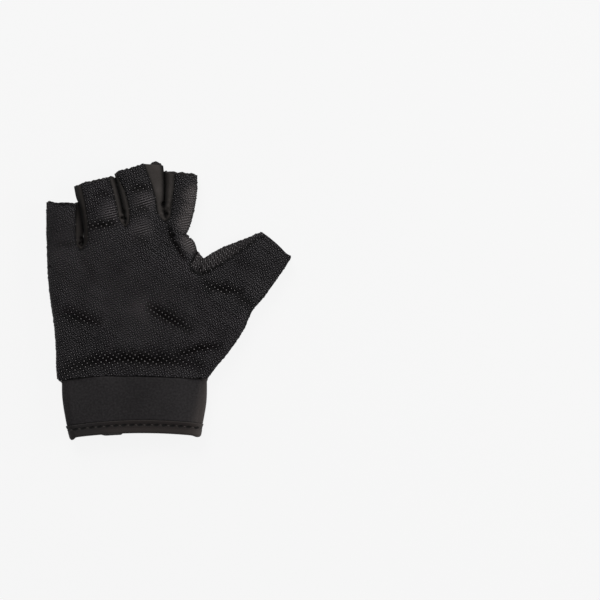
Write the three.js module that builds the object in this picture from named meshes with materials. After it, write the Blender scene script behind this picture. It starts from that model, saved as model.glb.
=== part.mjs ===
// Fingerless fitness glove for a right hand, empty, lying with its palm up.
// Millimetres. X runs across the hand towards the thumb, Y from the wrist to the fingertips, Z up.
// The origin is under the middle of the glove, on the surface that it lies on.
import * as THREE from "three";

// Cloth thickness of each piece
const PALM_WALL = 1.4;
const BACK_WALL = 1.2;
const FORCHETTE_WALL = 1.0;
const GUSSET_WALL = 1.3;
const CUFF_WALL = 2.0;
const BINDING_WALL = 2.8;
const BINDING_PROUD = 0.4;

// Clearance kept where two pieces are sewn edge to edge
const SEAM_GAP = 0.35;
const GUSSET_TOP_GAP = 0.6;
const GUSSET_END_GAP = 1.8;
const WRIST_GAP = 0.5;

// Heights above the surface
const FINGER_CROWN = 12.6;
const PALM_CROWN = 14;
const SIDE_SEAM_HEIGHT = 6.4;
const FORCHETTE_TOP = 9.6;
const FORCHETTE_FOOT = 3.4;
const GUSSET_TOP = 10.4;
const CUFF_UNDERSIDE = 2.3;
const CUFF_HEIGHT = 10.4;

// Where those heights pass into each other, as distances along the hand
const PALM_TO_FINGERS = [15, 52];
const CUFF_TO_PALM = [-52, -20];
const CUFF_TO_BACK = [-50, -40];

// How far in from a seam the cloth has risen, or sunk, to its full height
const EDGE_ROUNDING = 9;

// How far the gusset's strip bellies out between its seams
const GUSSET_BELLY = 0.9;

// Grid of the panels
const FINGER_COLUMNS = 6;
const FINGER_ROWS = 5;
const THUMB_COLUMNS = 8;
const CROTCH_ROWS = 5;
const HEEL_ROWS = 9;
const PALM_ROWS = CROTCH_ROWS + HEEL_ROWS;
const FORCHETTE_COLUMNS = 3;
const GUSSET_COLUMNS = 4;
const SLEEVE_END_STEPS = 4;
const SLEEVE_FLAT_STEPS = 9;
const SLEEVE_ROWS = 3;
const TAB_END_STEPS = 8;

// Points closer than one part in this many of a millimetre are one point
const POINTS_PER_MM = 10000;

// The fingers of the palm side, from the root to the open end: both seams as [across, along]
const PALM_FINGERS = {
  little: [
    { left: [-79, 33.5], right: [-56, 34] },
    { left: [-79, 41], right: [-59.4, 40] },
    { left: [-79.2, 49], right: [-60.2, 47] },
    { left: [-79.4, 57], right: [-60.5, 55] },
    { left: [-79.5, 64.5], right: [-60, 64] },
  ],
  ring: [
    { left: [-56, 34], right: [-27.5, 48] },
    { left: [-53, 43], right: [-31.5, 52.5] },
    { left: [-52.5, 52], right: [-33.5, 59.5] },
    { left: [-53.8, 63], right: [-35.2, 69] },
    { left: [-56.5, 75.5], right: [-37.5, 79.5] },
  ],
  middle: [
    { left: [-27.5, 48], right: [-2, 52.5] },
    { left: [-25.2, 54], right: [-6, 57.5] },
    { left: [-25.4, 62], right: [-8, 66] },
    { left: [-28.5, 72.5], right: [-10.6, 76.5] },
    { left: [-33.5, 82.5], right: [-15, 88.5] },
  ],
  index: [
    { left: [-2, 52.5], right: [11, 43] },
    { left: [1.2, 57.5], right: [14, 53.5] },
    { left: [2.7, 65], right: [16.4, 62] },
    { left: [3.6, 73.5], right: [18, 72] },
    { left: [4, 81.5], right: [17.8, 82] },
  ],
};

// The same for the back, whose fingers are wider and spread past the palm side
const BACK_FINGERS = {
  little: [
    { left: [-79.4, 33.5], right: [-56.6, 35.5] },
    { left: [-79.5, 41], right: [-55.9, 41] },
    { left: [-79.5, 49], right: [-56.2, 49] },
    { left: [-79.5, 57], right: [-57.6, 57] },
    { left: [-79.5, 64.5], right: [-59.3, 64.5] },
  ],
  ring: [
    { left: [-56.6, 35.5], right: [-28, 49.5] },
    { left: [-55.1, 42], right: [-29, 54.5] },
    { left: [-55.9, 51.5], right: [-30.9, 62.5] },
    { left: [-58.5, 63.5], right: [-33.1, 72] },
    { left: [-61.5, 75], right: [-35.3, 80.5] },
  ],
  middle: [
    { left: [-28, 49.5], right: [-2, 54.5] },
    { left: [-28.4, 54], right: [-3.6, 59.5] },
    { left: [-30.3, 63], right: [-3.5, 68] },
    { left: [-32.5, 72.5], right: [-3.4, 78] },
    { left: [-35.3, 83.5], right: [-4.5, 90.6] },
  ],
  index: [
    { left: [-2, 54.5], right: [11.2, 43] },
    { left: [-3, 59.5], right: [14.4, 54] },
    { left: [-2.9, 67], right: [16.8, 63] },
    { left: [-2.8, 75.5], right: [18.2, 73] },
    { left: [-3.2, 84.5], right: [18.2, 82.5] },
  ],
};

// The little finger's side of the hand, from the cuff up to the finger's root
const OUTER_SIDE = [
  [-71, -51.8], [-72.6, -44], [-73.4, -31.5], [-74.6, -15.5], [-77, 1], [-78.6, 17], [-79, 33.5],
];

// The inner side between the index finger and the thumb: each stretch as [across, along, height]
const CROTCH_BULGE = [[11, 43, SIDE_SEAM_HEIGHT], [14.5, 39.5, 5.2], [18, 32.5, 3.9]];
const GUSSET_END = [[18, 32.5, 3.9], [16.3, 28.5, 8], [14, 24.5, GUSSET_TOP]];
const GUSSET_TURN = [[14, 24.5, GUSSET_TOP], [16.4, 20.2, GUSSET_TOP], [21, 18, GUSSET_TOP]];
const BACK_BULGE = [[11.2, 43, SIDE_SEAM_HEIGHT], [14.8, 39.5, 5.2], [18.5, 32.7, 3.8]];
const BACK_TURN = [[18.5, 32.7, 3.8], [20.4, 30.4, 3.8], [22.6, 28, 3.8]];

// Which way the gusset's strip leaves its sewn end
const GUSSET_START = new THREE.Vector3(0.9, -0.43, 0);

// The edges of the thumb, from the hand to the open end
const THUMB_ROOT = [[25, -50], [27.5, -40], [29.5, -28], [29, -12], [26, 4], [21, 18]];
const THUMB_LOWER = [
  [25, -50], [31, -42], [39.5, -31.5], [47.8, -18.5], [54.3, -5], [60.5, 2.5], [70.5, 16], [79.4, 28.5],
];
const THUMB_UPPER = [[21, 18], [25.5, 20], [35, 24.8], [46.5, 32.2], [57, 39.6], [63, 42.5]];
const BACK_THUMB_UPPER = [[22.6, 28], [27, 31], [35, 35.5], [49.5, 41], [60, 45]];

// Seam of the hand and the cuff, and the two lines across the cuff: ends, and the rise between them
const CUFF_SEAM = { left: [-71, -51.8], right: [25, -50], rise: 3.2 };
const CUFF_TOP = { left: [-69.4, -51.7], right: [24.6, -50], rise: 3.2 };
const BINDING_TOP = { left: [-66.4, -80.4], right: [22.4, -78.8], rise: 3.2 };
const HEM = { left: [-64, -88.6], right: [20.6, -87.4], rise: 2.6 };

// The back's hem hangs lower than the front's over part of its width
const BACK_HEM_DROP = 1.6;
const BACK_HEM_DROP_AT = -48;
const BACK_HEM_DROP_WIDTH = 16;
const BACK_HEM_DROP_FROM = [-84, -87];

// Folds pressed into the palm side: where each one runs, its half width and its depth
const FOLDS = [
  { path: [[-66, -45], [-46, -36.5], [-18, -35.5], [12, -39]], width: 3.6, depth: 2.4 },
  { path: [[-12, -4], [13, -16.5]], width: 3.4, depth: 1.5 },
  { path: [[22, 12], [46, 7.5]], width: 3.2, depth: 1.5 },
  { path: [[9, -32], [31, -28]], width: 3, depth: 1.4 },
  { path: [[-65.5, -8], [-47.5, -13]], width: 3.4, depth: 1.2 },
  { path: [[-50, 48.5], [-36, 51]], width: 3, depth: 1.4 },
  { path: [[-1, 49], [12.5, 26.5]], width: 2.8, depth: 1.8 },
];

// Closing tab on the back of the wrist, its rounded end towards the thumb
const TAB_LENGTH = 42;
const TAB_WIDTH = 12;
const TAB_THICKNESS = 2;
const TAB_CENTRE = [-2, -62.5];

// Shift of the tables above to the middle of the whole glove
const ORIGIN_SHIFT = [0.05, -0.68, 0];

/** A point from [across, along] or [across, along, height]. */
function point(values, height = 0) {
  return new THREE.Vector3(values[0], values[1], values[2] ?? height);
}

/** `count` + 1 points along a smooth curve through a table, evenly spread or as `share` says. */
function smooth(table, count, height, share = (i) => i / count) {
  const curve = new THREE.CatmullRomCurve3(table.map((row) => point(row, height)), false, "centripetal");
  return Array.from({ length: count + 1 }, (_, i) => curve.getPointAt(share(i, count)));
}

/** Marks points as lying on a seam, where the cloth's edge is cut level. */
function asSeam(points) {
  for (const p of points) {
    p.seam = true;
  }
  return points;
}

/** Share of the width at step `i` of `count`: the steps are short beside the seams. */
function easedShare(i, count) {
  return (1 - Math.cos((Math.PI * i) / count)) / 2;
}

/** Share of the whole length at each point of a line. */
function sharesAlong(points) {
  const lengths = [0];
  for (let i = 1; i < points.length; i += 1) {
    lengths.push(lengths[i - 1] + points[i].distanceTo(points[i - 1]));
  }
  return lengths.map((length) => length / lengths[lengths.length - 1]);
}

/** 0 before the first place of a stretch, 1 past its second, and smooth between. */
function passage(stretch, place) {
  return THREE.MathUtils.smootherstep((place - stretch[0]) / (stretch[1] - stretch[0]), 0, 1);
}

/** A line across the wrist: straight between its ends, with an even rise in the middle. */
function wristLine(line, across) {
  const share = THREE.MathUtils.clamp((across - line.left[0]) / (line.right[0] - line.left[0]), 0, 1);
  const straight = THREE.MathUtils.lerp(line.left[1], line.right[1], share);
  return straight + line.rise * 4 * share * (1 - share);
}

/** A line across the wrist moved down by the clearance to the piece above it. */
function lowered(line, gap) {
  return { ...line, left: [line.left[0], line.left[1] - gap], right: [line.right[0], line.right[1] - gap] };
}

/** Rows of points of one finger, from the root up, between its two seams. */
function fingerGrid(sections, seamHeight) {
  const left = asSeam(smooth(sections.map((row) => row.left), FINGER_ROWS, seamHeight.left));
  const right = asSeam(smooth(sections.map((row) => row.right), FINGER_ROWS, seamHeight.right));
  return left.map((start, row) => rowBetween(start, right[row], FINGER_COLUMNS, easedShare));
}

/** A row of points from `start` to `end`, which both stay the very same points. */
function rowBetween(start, end, count, share) {
  const row = [start];
  for (let i = 1; i < count; i += 1) {
    row.push(start.clone().lerp(end, share(i, count)));
  }
  row.push(end);
  return row;
}

/** Fills a grid between four edges: bottom and top run across, left and right run up. */
function fillGrid(bottom, top, left, right) {
  const rows = left.length - 1;
  const columns = bottom.length - 1;
  const sharesAcross = sharesAlong(bottom);
  const sharesUp = sharesAlong(left);
  return left.map((leftPoint, r) => {
    const v = sharesUp[r];
    return bottom.map((bottomPoint, c) => {
      if (r === 0) return bottomPoint;
      if (r === rows) return top[c];
      if (c === 0) return leftPoint;
      if (c === columns) return right[r];
      const u = sharesAcross[c];
      const across = leftPoint.clone().lerp(right[r], u);
      const along = bottomPoint.clone().lerp(top[c], v);
      const lowCorners = bottom[0].clone().lerp(bottom[columns], u);
      const highCorners = top[0].clone().lerp(top[columns], u);
      return across.add(along).sub(lowCorners.lerp(highCorners, v));
    });
  });
}

/** Shortest distance on the plan from `p` to a seam, and the seam's height there. */
function nearestOnSeam(p, seam) {
  let best = { distance: Infinity, height: 0 };
  for (let i = 1; i < seam.length; i += 1) {
    const a = seam[i - 1];
    const b = seam[i];
    const spanX = b.x - a.x;
    const spanY = b.y - a.y;
    const dot = (p.x - a.x) * spanX + (p.y - a.y) * spanY;
    const share = THREE.MathUtils.clamp(dot / (spanX * spanX + spanY * spanY), 0, 1);
    const distance = Math.hypot(p.x - a.x - spanX * share, p.y - a.y - spanY * share);
    if (distance < best.distance) {
      best = { distance, height: THREE.MathUtils.lerp(a.z, b.z, share) };
    }
  }
  return best;
}

/** 1 on a seam, falling along a quarter round to 0 where the cloth has its full height. */
function edgeDrop(distance) {
  const share = Math.min(distance / EDGE_ROUNDING, 1);
  return 1 - Math.sqrt(1 - (1 - share) ** 2);
}

/** Height of the palm side where no seam is near: lower on the fingers than over the palm. */
function crownHeight(along) {
  const cuffTop = CUFF_UNDERSIDE + CUFF_HEIGHT;
  const palmHeight = THREE.MathUtils.lerp(cuffTop, PALM_CROWN, passage(CUFF_TO_PALM, along));
  return THREE.MathUtils.lerp(palmHeight, FINGER_CROWN, passage(PALM_TO_FINGERS, along));
}

/** Depth of all the folds together at a point of the palm side. */
function foldDepth(p) {
  let depth = 0;
  for (const fold of FOLDS) {
    const path = fold.path.map((row) => point(row));
    const { distance } = nearestOnSeam(p, path);
    depth += fold.depth * Math.exp(-((distance / fold.width) ** 2));
  }
  return depth;
}

/** Gives the inner points of the palm side their height over the seams. */
function raisePalm(grids, seams) {
  for (const p of new Set(grids.flat(2))) {
    if (p.seam) continue;
    const crown = crownHeight(p.y);
    let lowest = crown;
    let clear = Infinity;
    for (const seam of seams) {
      const near = nearestOnSeam(p, seam);
      lowest = Math.min(lowest, crown - (crown - near.height) * edgeDrop(near.distance));
      clear = Math.min(clear, near.distance);
    }
    p.z = lowest - foldDepth(p) * THREE.MathUtils.smoothstep(clear, 0, EDGE_ROUNDING);
  }
}

/** Gives the inner points of the back their height: flat on the surface, rising to the seams. */
function sinkBack(grids, seams) {
  for (const p of new Set(grids.flat(2))) {
    if (p.seam) continue;
    let highest = 0;
    for (const seam of seams) {
      const near = nearestOnSeam(p, seam);
      highest = Math.max(highest, near.height * edgeDrop(near.distance));
    }
    const liftToCuff = CUFF_UNDERSIDE * (1 - passage(CUFF_TO_BACK, p.y));
    p.z = Math.max(highest, liftToCuff);
  }
}

/** The points of one column of a grid, from its first row to its last. */
function sideOf(grid, column) {
  return grid.map((row) => row[column]);
}

/** One side of the hand as grids of points that share their edges. */
function handGrids(side) {
  const tables = Object.values(side.fingers);
  const fingers = tables.map((sections, i) => fingerGrid(sections, side.fingerSeams[i]));
  for (let i = 1; i < fingers.length; i += 1) {
    fingers[i][0][0] = fingers[i - 1][0][FINGER_COLUMNS];
  }
  const knuckles = fingers.flatMap((grid, i) => (i === 0 ? grid[0] : grid[0].slice(1)));
  const shares = sharesAlong(knuckles);
  const outer = asSeam(smooth(OUTER_SIDE, PALM_ROWS, side.sideHeight));
  outer[PALM_ROWS] = knuckles[0];
  const inner = [...side.thumbRoot, ...side.crotch.slice(1)];
  inner[PALM_ROWS] = knuckles[knuckles.length - 1];
  const heel = shares.map((share) => {
    const across = THREE.MathUtils.lerp(outer[0].x, inner[0].x, share);
    return new THREE.Vector3(across, wristLine(CUFF_SEAM, across), 0);
  });
  heel[0] = outer[0];
  heel[heel.length - 1] = inner[0];
  const palm = fillGrid(heel, knuckles, outer, inner);
  const thumbLower = asSeam(smooth(THUMB_LOWER, THUMB_COLUMNS, side.sideHeight));
  thumbLower[0] = inner[0];
  side.thumbUpper[0] = inner[HEEL_ROWS];
  const thumbUpper = side.thumbUpper;
  const end = rowBetween(thumbLower[THUMB_COLUMNS], thumbUpper[THUMB_COLUMNS], HEEL_ROWS, easedShare);
  const root = inner.slice(0, HEEL_ROWS + 1);
  const thumb = fillGrid(thumbLower, thumbUpper, root, end);
  const crotch = inner.slice(HEEL_ROWS);
  const fingerSeams = fingers.flatMap((grid) => [sideOf(grid, 0), sideOf(grid, FINGER_COLUMNS)]);
  const seams = [...fingerSeams, outer, crotch, thumbLower, thumbUpper];
  return { grids: [...fingers, palm, thumb], fingers, seams, crotch, thumbUpper };
}

/** The hand's line down the thumb's root, from the cuff up to the crotch. */
function thumbRoot(crotchPoint, height) {
  const table = [...THUMB_ROOT.slice(0, -1), [crotchPoint.x, crotchPoint.y]];
  const root = smooth(table, HEEL_ROWS, height, easedShare);
  root[0].seam = true;
  root[HEEL_ROWS] = crotchPoint;
  return root;
}

/** Joins grids into one list of points and triangles; points at the same place become one. */
function weld(grids) {
  const points = [];
  const faces = [];
  const known = new Map();
  const indexOf = (p) => {
    const key = [p.x, p.y, p.z].map((value) => Math.round(value * POINTS_PER_MM)).join(" ");
    if (!known.has(key)) {
      known.set(key, points.length);
      points.push(p);
    }
    return known.get(key);
  };
  for (const grid of grids) {
    for (let r = 1; r < grid.length; r += 1) {
      for (let c = 1; c < grid[r].length; c += 1) {
        const corners = [grid[r - 1][c - 1], grid[r - 1][c], grid[r][c], grid[r][c - 1]];
        const [first, second, third, fourth] = corners.map(indexOf);
        faces.push([first, second, third], [first, third, fourth]);
      }
    }
  }
  return { points, faces: faces.filter(([a, b, c]) => a !== b && b !== c && c !== a) };
}

/** Outward direction at each point, level on a side seam and square to the arm on a wrist line. */
function outwardDirections(points, faces) {
  const directions = points.map(() => new THREE.Vector3());
  for (const [a, b, c] of faces) {
    const edge = points[b].clone().sub(points[a]);
    const normal = edge.cross(points[c].clone().sub(points[a]));
    for (const corner of [a, b, c]) {
      directions[corner].add(normal);
    }
  }
  directions.forEach((direction, i) => {
    if (points[i].seam) direction.z = 0;
    if (points[i].onWristLine) direction.y = 0;
    direction.normalize();
  });
  return directions;
}

/** A closed wall of cloth whose outer face is the grids and whose thickness goes inward. */
function clothWall(grids, wall, flipped = false) {
  const welded = weld(grids);
  const faces = flipped ? welded.faces.map(([a, b, c]) => [a, c, b]) : welded.faces;
  const outer = welded.points;
  const directions = outwardDirections(outer, faces);
  const inner = outer.map((p, i) => p.clone().addScaledVector(directions[i], -wall));
  const count = outer.length;
  const edges = new Set(faces.flatMap(([a, b, c]) => [`${a} ${b}`, `${b} ${c}`, `${c} ${a}`]));
  const triangles = [];
  for (const [a, b, c] of faces) {
    triangles.push([a, b, c], [a + count, c + count, b + count]);
    for (const [from, to] of [[a, b], [b, c], [c, a]]) {
      if (edges.has(`${to} ${from}`)) continue;
      triangles.push([to, from, from + count], [to, from + count, to + count]);
    }
  }
  const geometry = new THREE.BufferGeometry();
  const coordinates = [...outer, ...inner].flatMap((p) => p.toArray());
  geometry.setAttribute("position", new THREE.Float32BufferAttribute(coordinates, 3));
  geometry.setIndex(triangles.flat());
  geometry.computeVertexNormals();
  return geometry;
}

/** A strip between two seams with as many points; it bellies sideways by `belly`. */
function strip(upper, lower, columns, belly) {
  return upper.map((top, i) => {
    const bottom = lower[i];
    const before = upper[Math.max(i - 1, 0)];
    const after = upper[Math.min(i + 1, upper.length - 1)];
    const sideways = new THREE.Vector3(after.y - before.y, before.x - after.x, 0).normalize();
    const row = [];
    for (let c = 0; c <= columns; c += 1) {
      const share = c / columns;
      const p = top.clone().lerp(bottom, share);
      p.addScaledVector(sideways, belly * Math.sin(Math.PI * share));
      p.seam = c === 0 || c === columns;
      row.push(p);
    }
    return row;
  });
}

/** Moves a seam's copy up or down by the clearance between two sewn pieces. */
function clearOf(seam, rise) {
  return seam.map((p) => new THREE.Vector3(p.x, p.y, p.z + rise));
}

/** Seam of one slot between two fingers: down the left finger, round the root, up the right one. */
function slotSeam(fingers, slot) {
  const leftSide = sideOf(fingers[slot], FINGER_COLUMNS).reverse();
  const rightSide = sideOf(fingers[slot + 1], 0);
  return [...leftSide, ...rightSide.slice(1)];
}

/** The side wall between two fingers, from the palm side's seam down to the back's. */
function forchette(palm, back, slot) {
  const upper = clearOf(slotSeam(palm.fingers, slot), -SEAM_GAP);
  const lower = clearOf(slotSeam(back.fingers, slot), SEAM_GAP);
  return clothWall([strip(upper, lower, FORCHETTE_COLUMNS, 0)], FORCHETTE_WALL, true);
}

/** Seam of the gusset on one side of the hand: round the crotch, then along the thumb. */
function gussetSeam(side) {
  const turn = side.crotch.slice(0, 3).reverse();
  return [...turn, ...side.thumbUpper.slice(1)];
}

/** The strip round the inside of the thumb, from the crotch to the thumb's open end. */
function thumbGusset(palm, back) {
  const upper = clearOf(gussetSeam(palm), -GUSSET_TOP_GAP);
  const lower = clearOf(gussetSeam(back), SEAM_GAP);
  for (const p of [upper[0], lower[0]]) {
    p.addScaledVector(GUSSET_START, GUSSET_END_GAP);
  }
  return clothWall([strip(upper, lower, GUSSET_COLUMNS, -GUSSET_BELLY)], GUSSET_WALL, true);
}

/** Outline of the flattened sleeve as [across, height]: left end, top, right end, underside. */
function sleeveOutline(left, right, underside, height) {
  const radius = height / 2;
  const middle = underside + radius;
  const outline = [];
  for (const [centre, startTurn] of [[left + radius, 1.5], [right - radius, 0.5]]) {
    for (let i = 0; i <= SLEEVE_END_STEPS; i += 1) {
      const turn = Math.PI * (startTurn - i / SLEEVE_END_STEPS);
      outline.push([centre + radius * Math.cos(turn), middle + radius * Math.sin(turn)]);
    }
    const rise = centre === left + radius ? radius : -radius;
    const otherCentre = left + right - centre;
    for (let i = 1; i < SLEEVE_FLAT_STEPS; i += 1) {
      outline.push([THREE.MathUtils.lerp(centre, otherCentre, i / SLEEVE_FLAT_STEPS), middle + rise]);
    }
  }
  outline.push(outline[0]);
  return outline;
}

/** A stretch of the sleeve between two lines across the wrist. */
function sleeve(topLine, bottomLine, proud, wall) {
  const grid = [];
  for (let r = 0; r <= SLEEVE_ROWS; r += 1) {
    const share = r / SLEEVE_ROWS;
    const left = THREE.MathUtils.lerp(topLine.left[0], bottomLine.left[0], share) - proud;
    const right = THREE.MathUtils.lerp(topLine.right[0], bottomLine.right[0], share) + proud;
    const outline = sleeveOutline(left, right, CUFF_UNDERSIDE - proud, CUFF_HEIGHT + 2 * proud);
    grid.push(outline.map(([across, height]) => {
      const along = THREE.MathUtils.lerp(wristLine(topLine, across), wristLine(bottomLine, across), share);
      const p = new THREE.Vector3(across, along, height);
      p.onWristLine = r === 0 || r === SLEEVE_ROWS;
      return p;
    }));
  }
  return clothWall([grid], wall, true);
}

/** Lowers the hem of the back. */
function dropBackHem(geometry) {
  const positions = geometry.getAttribute("position");
  const middle = CUFF_UNDERSIDE + CUFF_HEIGHT / 2;
  for (let i = 0; i < positions.count; i += 1) {
    if (positions.getZ(i) > middle) continue;
    const low = passage(BACK_HEM_DROP_FROM, positions.getY(i));
    const reach = (positions.getX(i) - BACK_HEM_DROP_AT) / BACK_HEM_DROP_WIDTH;
    positions.setY(i, positions.getY(i) - BACK_HEM_DROP * low * Math.exp(-reach * reach));
  }
  return geometry;
}

/** The tab: a flat strip with one square end and one round end. */
function closureTab() {
  const radius = TAB_WIDTH / 2;
  const squareEnd = TAB_CENTRE[0] - TAB_LENGTH / 2;
  const roundCentre = TAB_CENTRE[0] + TAB_LENGTH / 2 - radius;
  const outline = new THREE.Shape();
  outline.moveTo(squareEnd, TAB_CENTRE[1] - radius);
  outline.lineTo(roundCentre, TAB_CENTRE[1] - radius);
  outline.absarc(roundCentre, TAB_CENTRE[1], radius, -Math.PI / 2, Math.PI / 2, false);
  outline.lineTo(squareEnd, TAB_CENTRE[1] + radius);
  outline.closePath();
  const settings = { depth: TAB_THICKNESS, bevelEnabled: false, curveSegments: TAB_END_STEPS };
  return new THREE.ExtrudeGeometry(outline, settings);
}

/** The palm side: its seams, with the stretch round the crotch that the gusset is sewn into. */
function palmSide() {
  const crotch = asSeam([
    ...smooth(GUSSET_TURN, 2).reverse(),
    ...smooth(GUSSET_END, 1).reverse().slice(1),
    ...smooth(CROTCH_BULGE, 2).reverse().slice(1),
  ]);
  const slot = FORCHETTE_TOP;
  const side = {
    fingers: PALM_FINGERS,
    fingerSeams: [
      { left: SIDE_SEAM_HEIGHT, right: slot },
      { left: slot, right: slot },
      { left: slot, right: slot },
      { left: slot, right: SIDE_SEAM_HEIGHT },
    ],
    sideHeight: SIDE_SEAM_HEIGHT,
    crotch,
    thumbRoot: thumbRoot(crotch[0], SIDE_SEAM_HEIGHT),
    thumbUpper: asSeam(smooth(THUMB_UPPER, THUMB_COLUMNS, GUSSET_TOP)),
  };
  const hand = handGrids(side);
  raisePalm(hand.grids, hand.seams);
  return hand;
}

/** The back: like the palm side, but below the seams. */
function backSide() {
  const sideHeight = SIDE_SEAM_HEIGHT - SEAM_GAP;
  const crotchLine = [...smooth(BACK_TURN, 2).reverse(), ...smooth(BACK_BULGE, 3).reverse().slice(1)];
  const crotch = asSeam(clearOf(crotchLine, -SEAM_GAP));
  const slot = FORCHETTE_FOOT;
  const side = {
    fingers: BACK_FINGERS,
    fingerSeams: [
      { left: sideHeight, right: slot },
      { left: slot, right: slot },
      { left: slot, right: slot },
      { left: slot, right: sideHeight },
    ],
    sideHeight,
    crotch,
    thumbRoot: thumbRoot(crotch[0], sideHeight),
    thumbUpper: asSeam(smooth(BACK_THUMB_UPPER, THUMB_COLUMNS, FORCHETTE_FOOT)),
  };
  const hand = handGrids(side);
  sinkBack(hand.grids, hand.seams);
  return hand;
}

const palm = palmSide();
const back = backSide();

const gripKnit = new THREE.MeshStandardMaterial({ color: "#252424", roughness: 0.85, metalness: 0 });
const stretchKnit = new THREE.MeshStandardMaterial({ color: "#2d2a29", roughness: 0.75, metalness: 0 });
const cuffCloth = new THREE.MeshStandardMaterial({ color: "#282627", roughness: 0.9, metalness: 0 });

const band = sleeve(lowered(CUFF_TOP, WRIST_GAP), BINDING_TOP, 0, CUFF_WALL);
const binding = sleeve(lowered(BINDING_TOP, WRIST_GAP), HEM, BINDING_PROUD, BINDING_WALL);

const pieces = {
  palm_panel: [clothWall(palm.grids, PALM_WALL), gripKnit],
  back_panel: [clothWall(back.grids, BACK_WALL, true), stretchKnit],
  forchette_little_ring: [forchette(palm, back, 0), stretchKnit],
  forchette_ring_middle: [forchette(palm, back, 1), stretchKnit],
  forchette_middle_index: [forchette(palm, back, 2), stretchKnit],
  thumb_gusset: [thumbGusset(palm, back), gripKnit],
  cuff_band: [band, cuffCloth],
  cuff_binding: [dropBackHem(binding), stretchKnit],
  closure_tab: [closureTab(), cuffCloth],
};

const group = new THREE.Group();
for (const [name, [geometry, material]] of Object.entries(pieces)) {
  const mesh = new THREE.Mesh(geometry, material);
  mesh.name = name;
  group.add(mesh);
}
group.position.fromArray(ORIGIN_SHIFT);

export default group;
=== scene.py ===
import math

import bmesh
import bpy
import numpy as np
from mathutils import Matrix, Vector, noise


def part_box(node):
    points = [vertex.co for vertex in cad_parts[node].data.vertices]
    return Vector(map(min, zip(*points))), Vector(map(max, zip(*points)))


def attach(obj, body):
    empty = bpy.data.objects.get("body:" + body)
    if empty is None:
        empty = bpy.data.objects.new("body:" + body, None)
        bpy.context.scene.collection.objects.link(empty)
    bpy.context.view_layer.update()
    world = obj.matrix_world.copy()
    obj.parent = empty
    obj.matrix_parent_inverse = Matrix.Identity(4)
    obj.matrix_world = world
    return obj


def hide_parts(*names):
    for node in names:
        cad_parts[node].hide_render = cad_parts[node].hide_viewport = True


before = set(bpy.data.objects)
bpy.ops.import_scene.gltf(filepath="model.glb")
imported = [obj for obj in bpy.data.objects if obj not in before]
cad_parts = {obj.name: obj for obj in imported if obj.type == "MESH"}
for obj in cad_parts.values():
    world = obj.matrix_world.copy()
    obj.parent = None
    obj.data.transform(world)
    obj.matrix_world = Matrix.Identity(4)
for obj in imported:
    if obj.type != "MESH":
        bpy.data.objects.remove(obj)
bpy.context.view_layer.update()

# Tables and sizes are in millimetres, and become metres when a mesh is made.
MM = 0.001
ORIGIN_SHIFT = (0.05, -0.68, 0.0)

# Thickness of each cloth
PALM_WALL = 1.4
BACK_WALL = 1.2
FORCHETTE_WALL = 1.0
GUSSET_WALL = 1.3
CUFF_WALL = 2.0
BINDING_WALL = 2.8

# Heights above the surface, and the places along the hand where they pass into each other
FINGER_CROWN = 12.6
PALM_CROWN = 14
SIDE_SEAM_HEIGHT = 6.4
FORCHETTE_TOP = 9.6
FORCHETTE_FOOT = 3.4
GUSSET_TOP = 10.4
CUFF_UNDERSIDE = 2.3
CUFF_HEIGHT = 10.4
PALM_TO_FINGERS = (15, 52)
CUFF_TO_PALM = (-52, -20)
CUFF_TO_BACK = (-50, -40)

# How far from a seam the cloth has its full height
EDGE_ROUNDING = 9

# Clearances between sewn pieces
SEAM_GAP = 0.35
GUSSET_TOP_GAP = 0.6
GUSSET_END_GAP = 0.5

# Cells of the panels: fingers, thumb, and the hand below and above the thumb's root, whose rows fall
# into even shares; then steps of a smooth curve and of a fold
FINGER_COLUMNS = 24
FINGER_ROWS = 84
THUMB_COLUMNS = 130
HEEL_ROWS = 104
CROTCH_ROWS = 56
CROTCH_SHARES = 5
CURVE_STEPS = 40
FOLD_STEPS = 16

# A row for each section of a finger of the palm side, root first: left across, left along, right
# across, right along
PALM_FINGERS = {
    "little": [
        (-79, 33.5, -57, 33.1), (-79, 36.9, -59.6, 35.7), (-79.3, 41, -60.4, 40.2),
        (-79.4, 49, -60.5, 49), (-79.3, 56.5, -60.4, 56), (-79.3, 64.5, -60.2, 64),
    ],
    "ring": [
        (-57, 33.1, -28, 48), (-53.6, 36, -31.1, 50.9), (-52.3, 40.6, -32.6, 55.1),
        (-52.4, 52, -33.8, 61), (-54, 64, -35.9, 70.2), (-56.4, 75.5, -38.5, 79.2),
    ],
    "middle": [
        (-28, 48, -1.8, 51.6), (-25.5, 50.7, -5.3, 54.1), (-25, 55.6, -7.4, 58.2),
        (-25.6, 62.5, -8.8, 67), (-28.3, 72, -11.4, 76.5), (-33.5, 82.5, -16.2, 89.4),
    ],
    "index": [
        (-1.8, 51.6, 10.6, 42.9), (1.2, 54.2, 13.1, 47.9), (2.1, 59.8, 15.1, 54.4),
        (3.1, 67.5, 17, 63), (4, 76, 18.2, 72.5), (4.3, 82.2, 18.1, 81.9),
    ],
}

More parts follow.
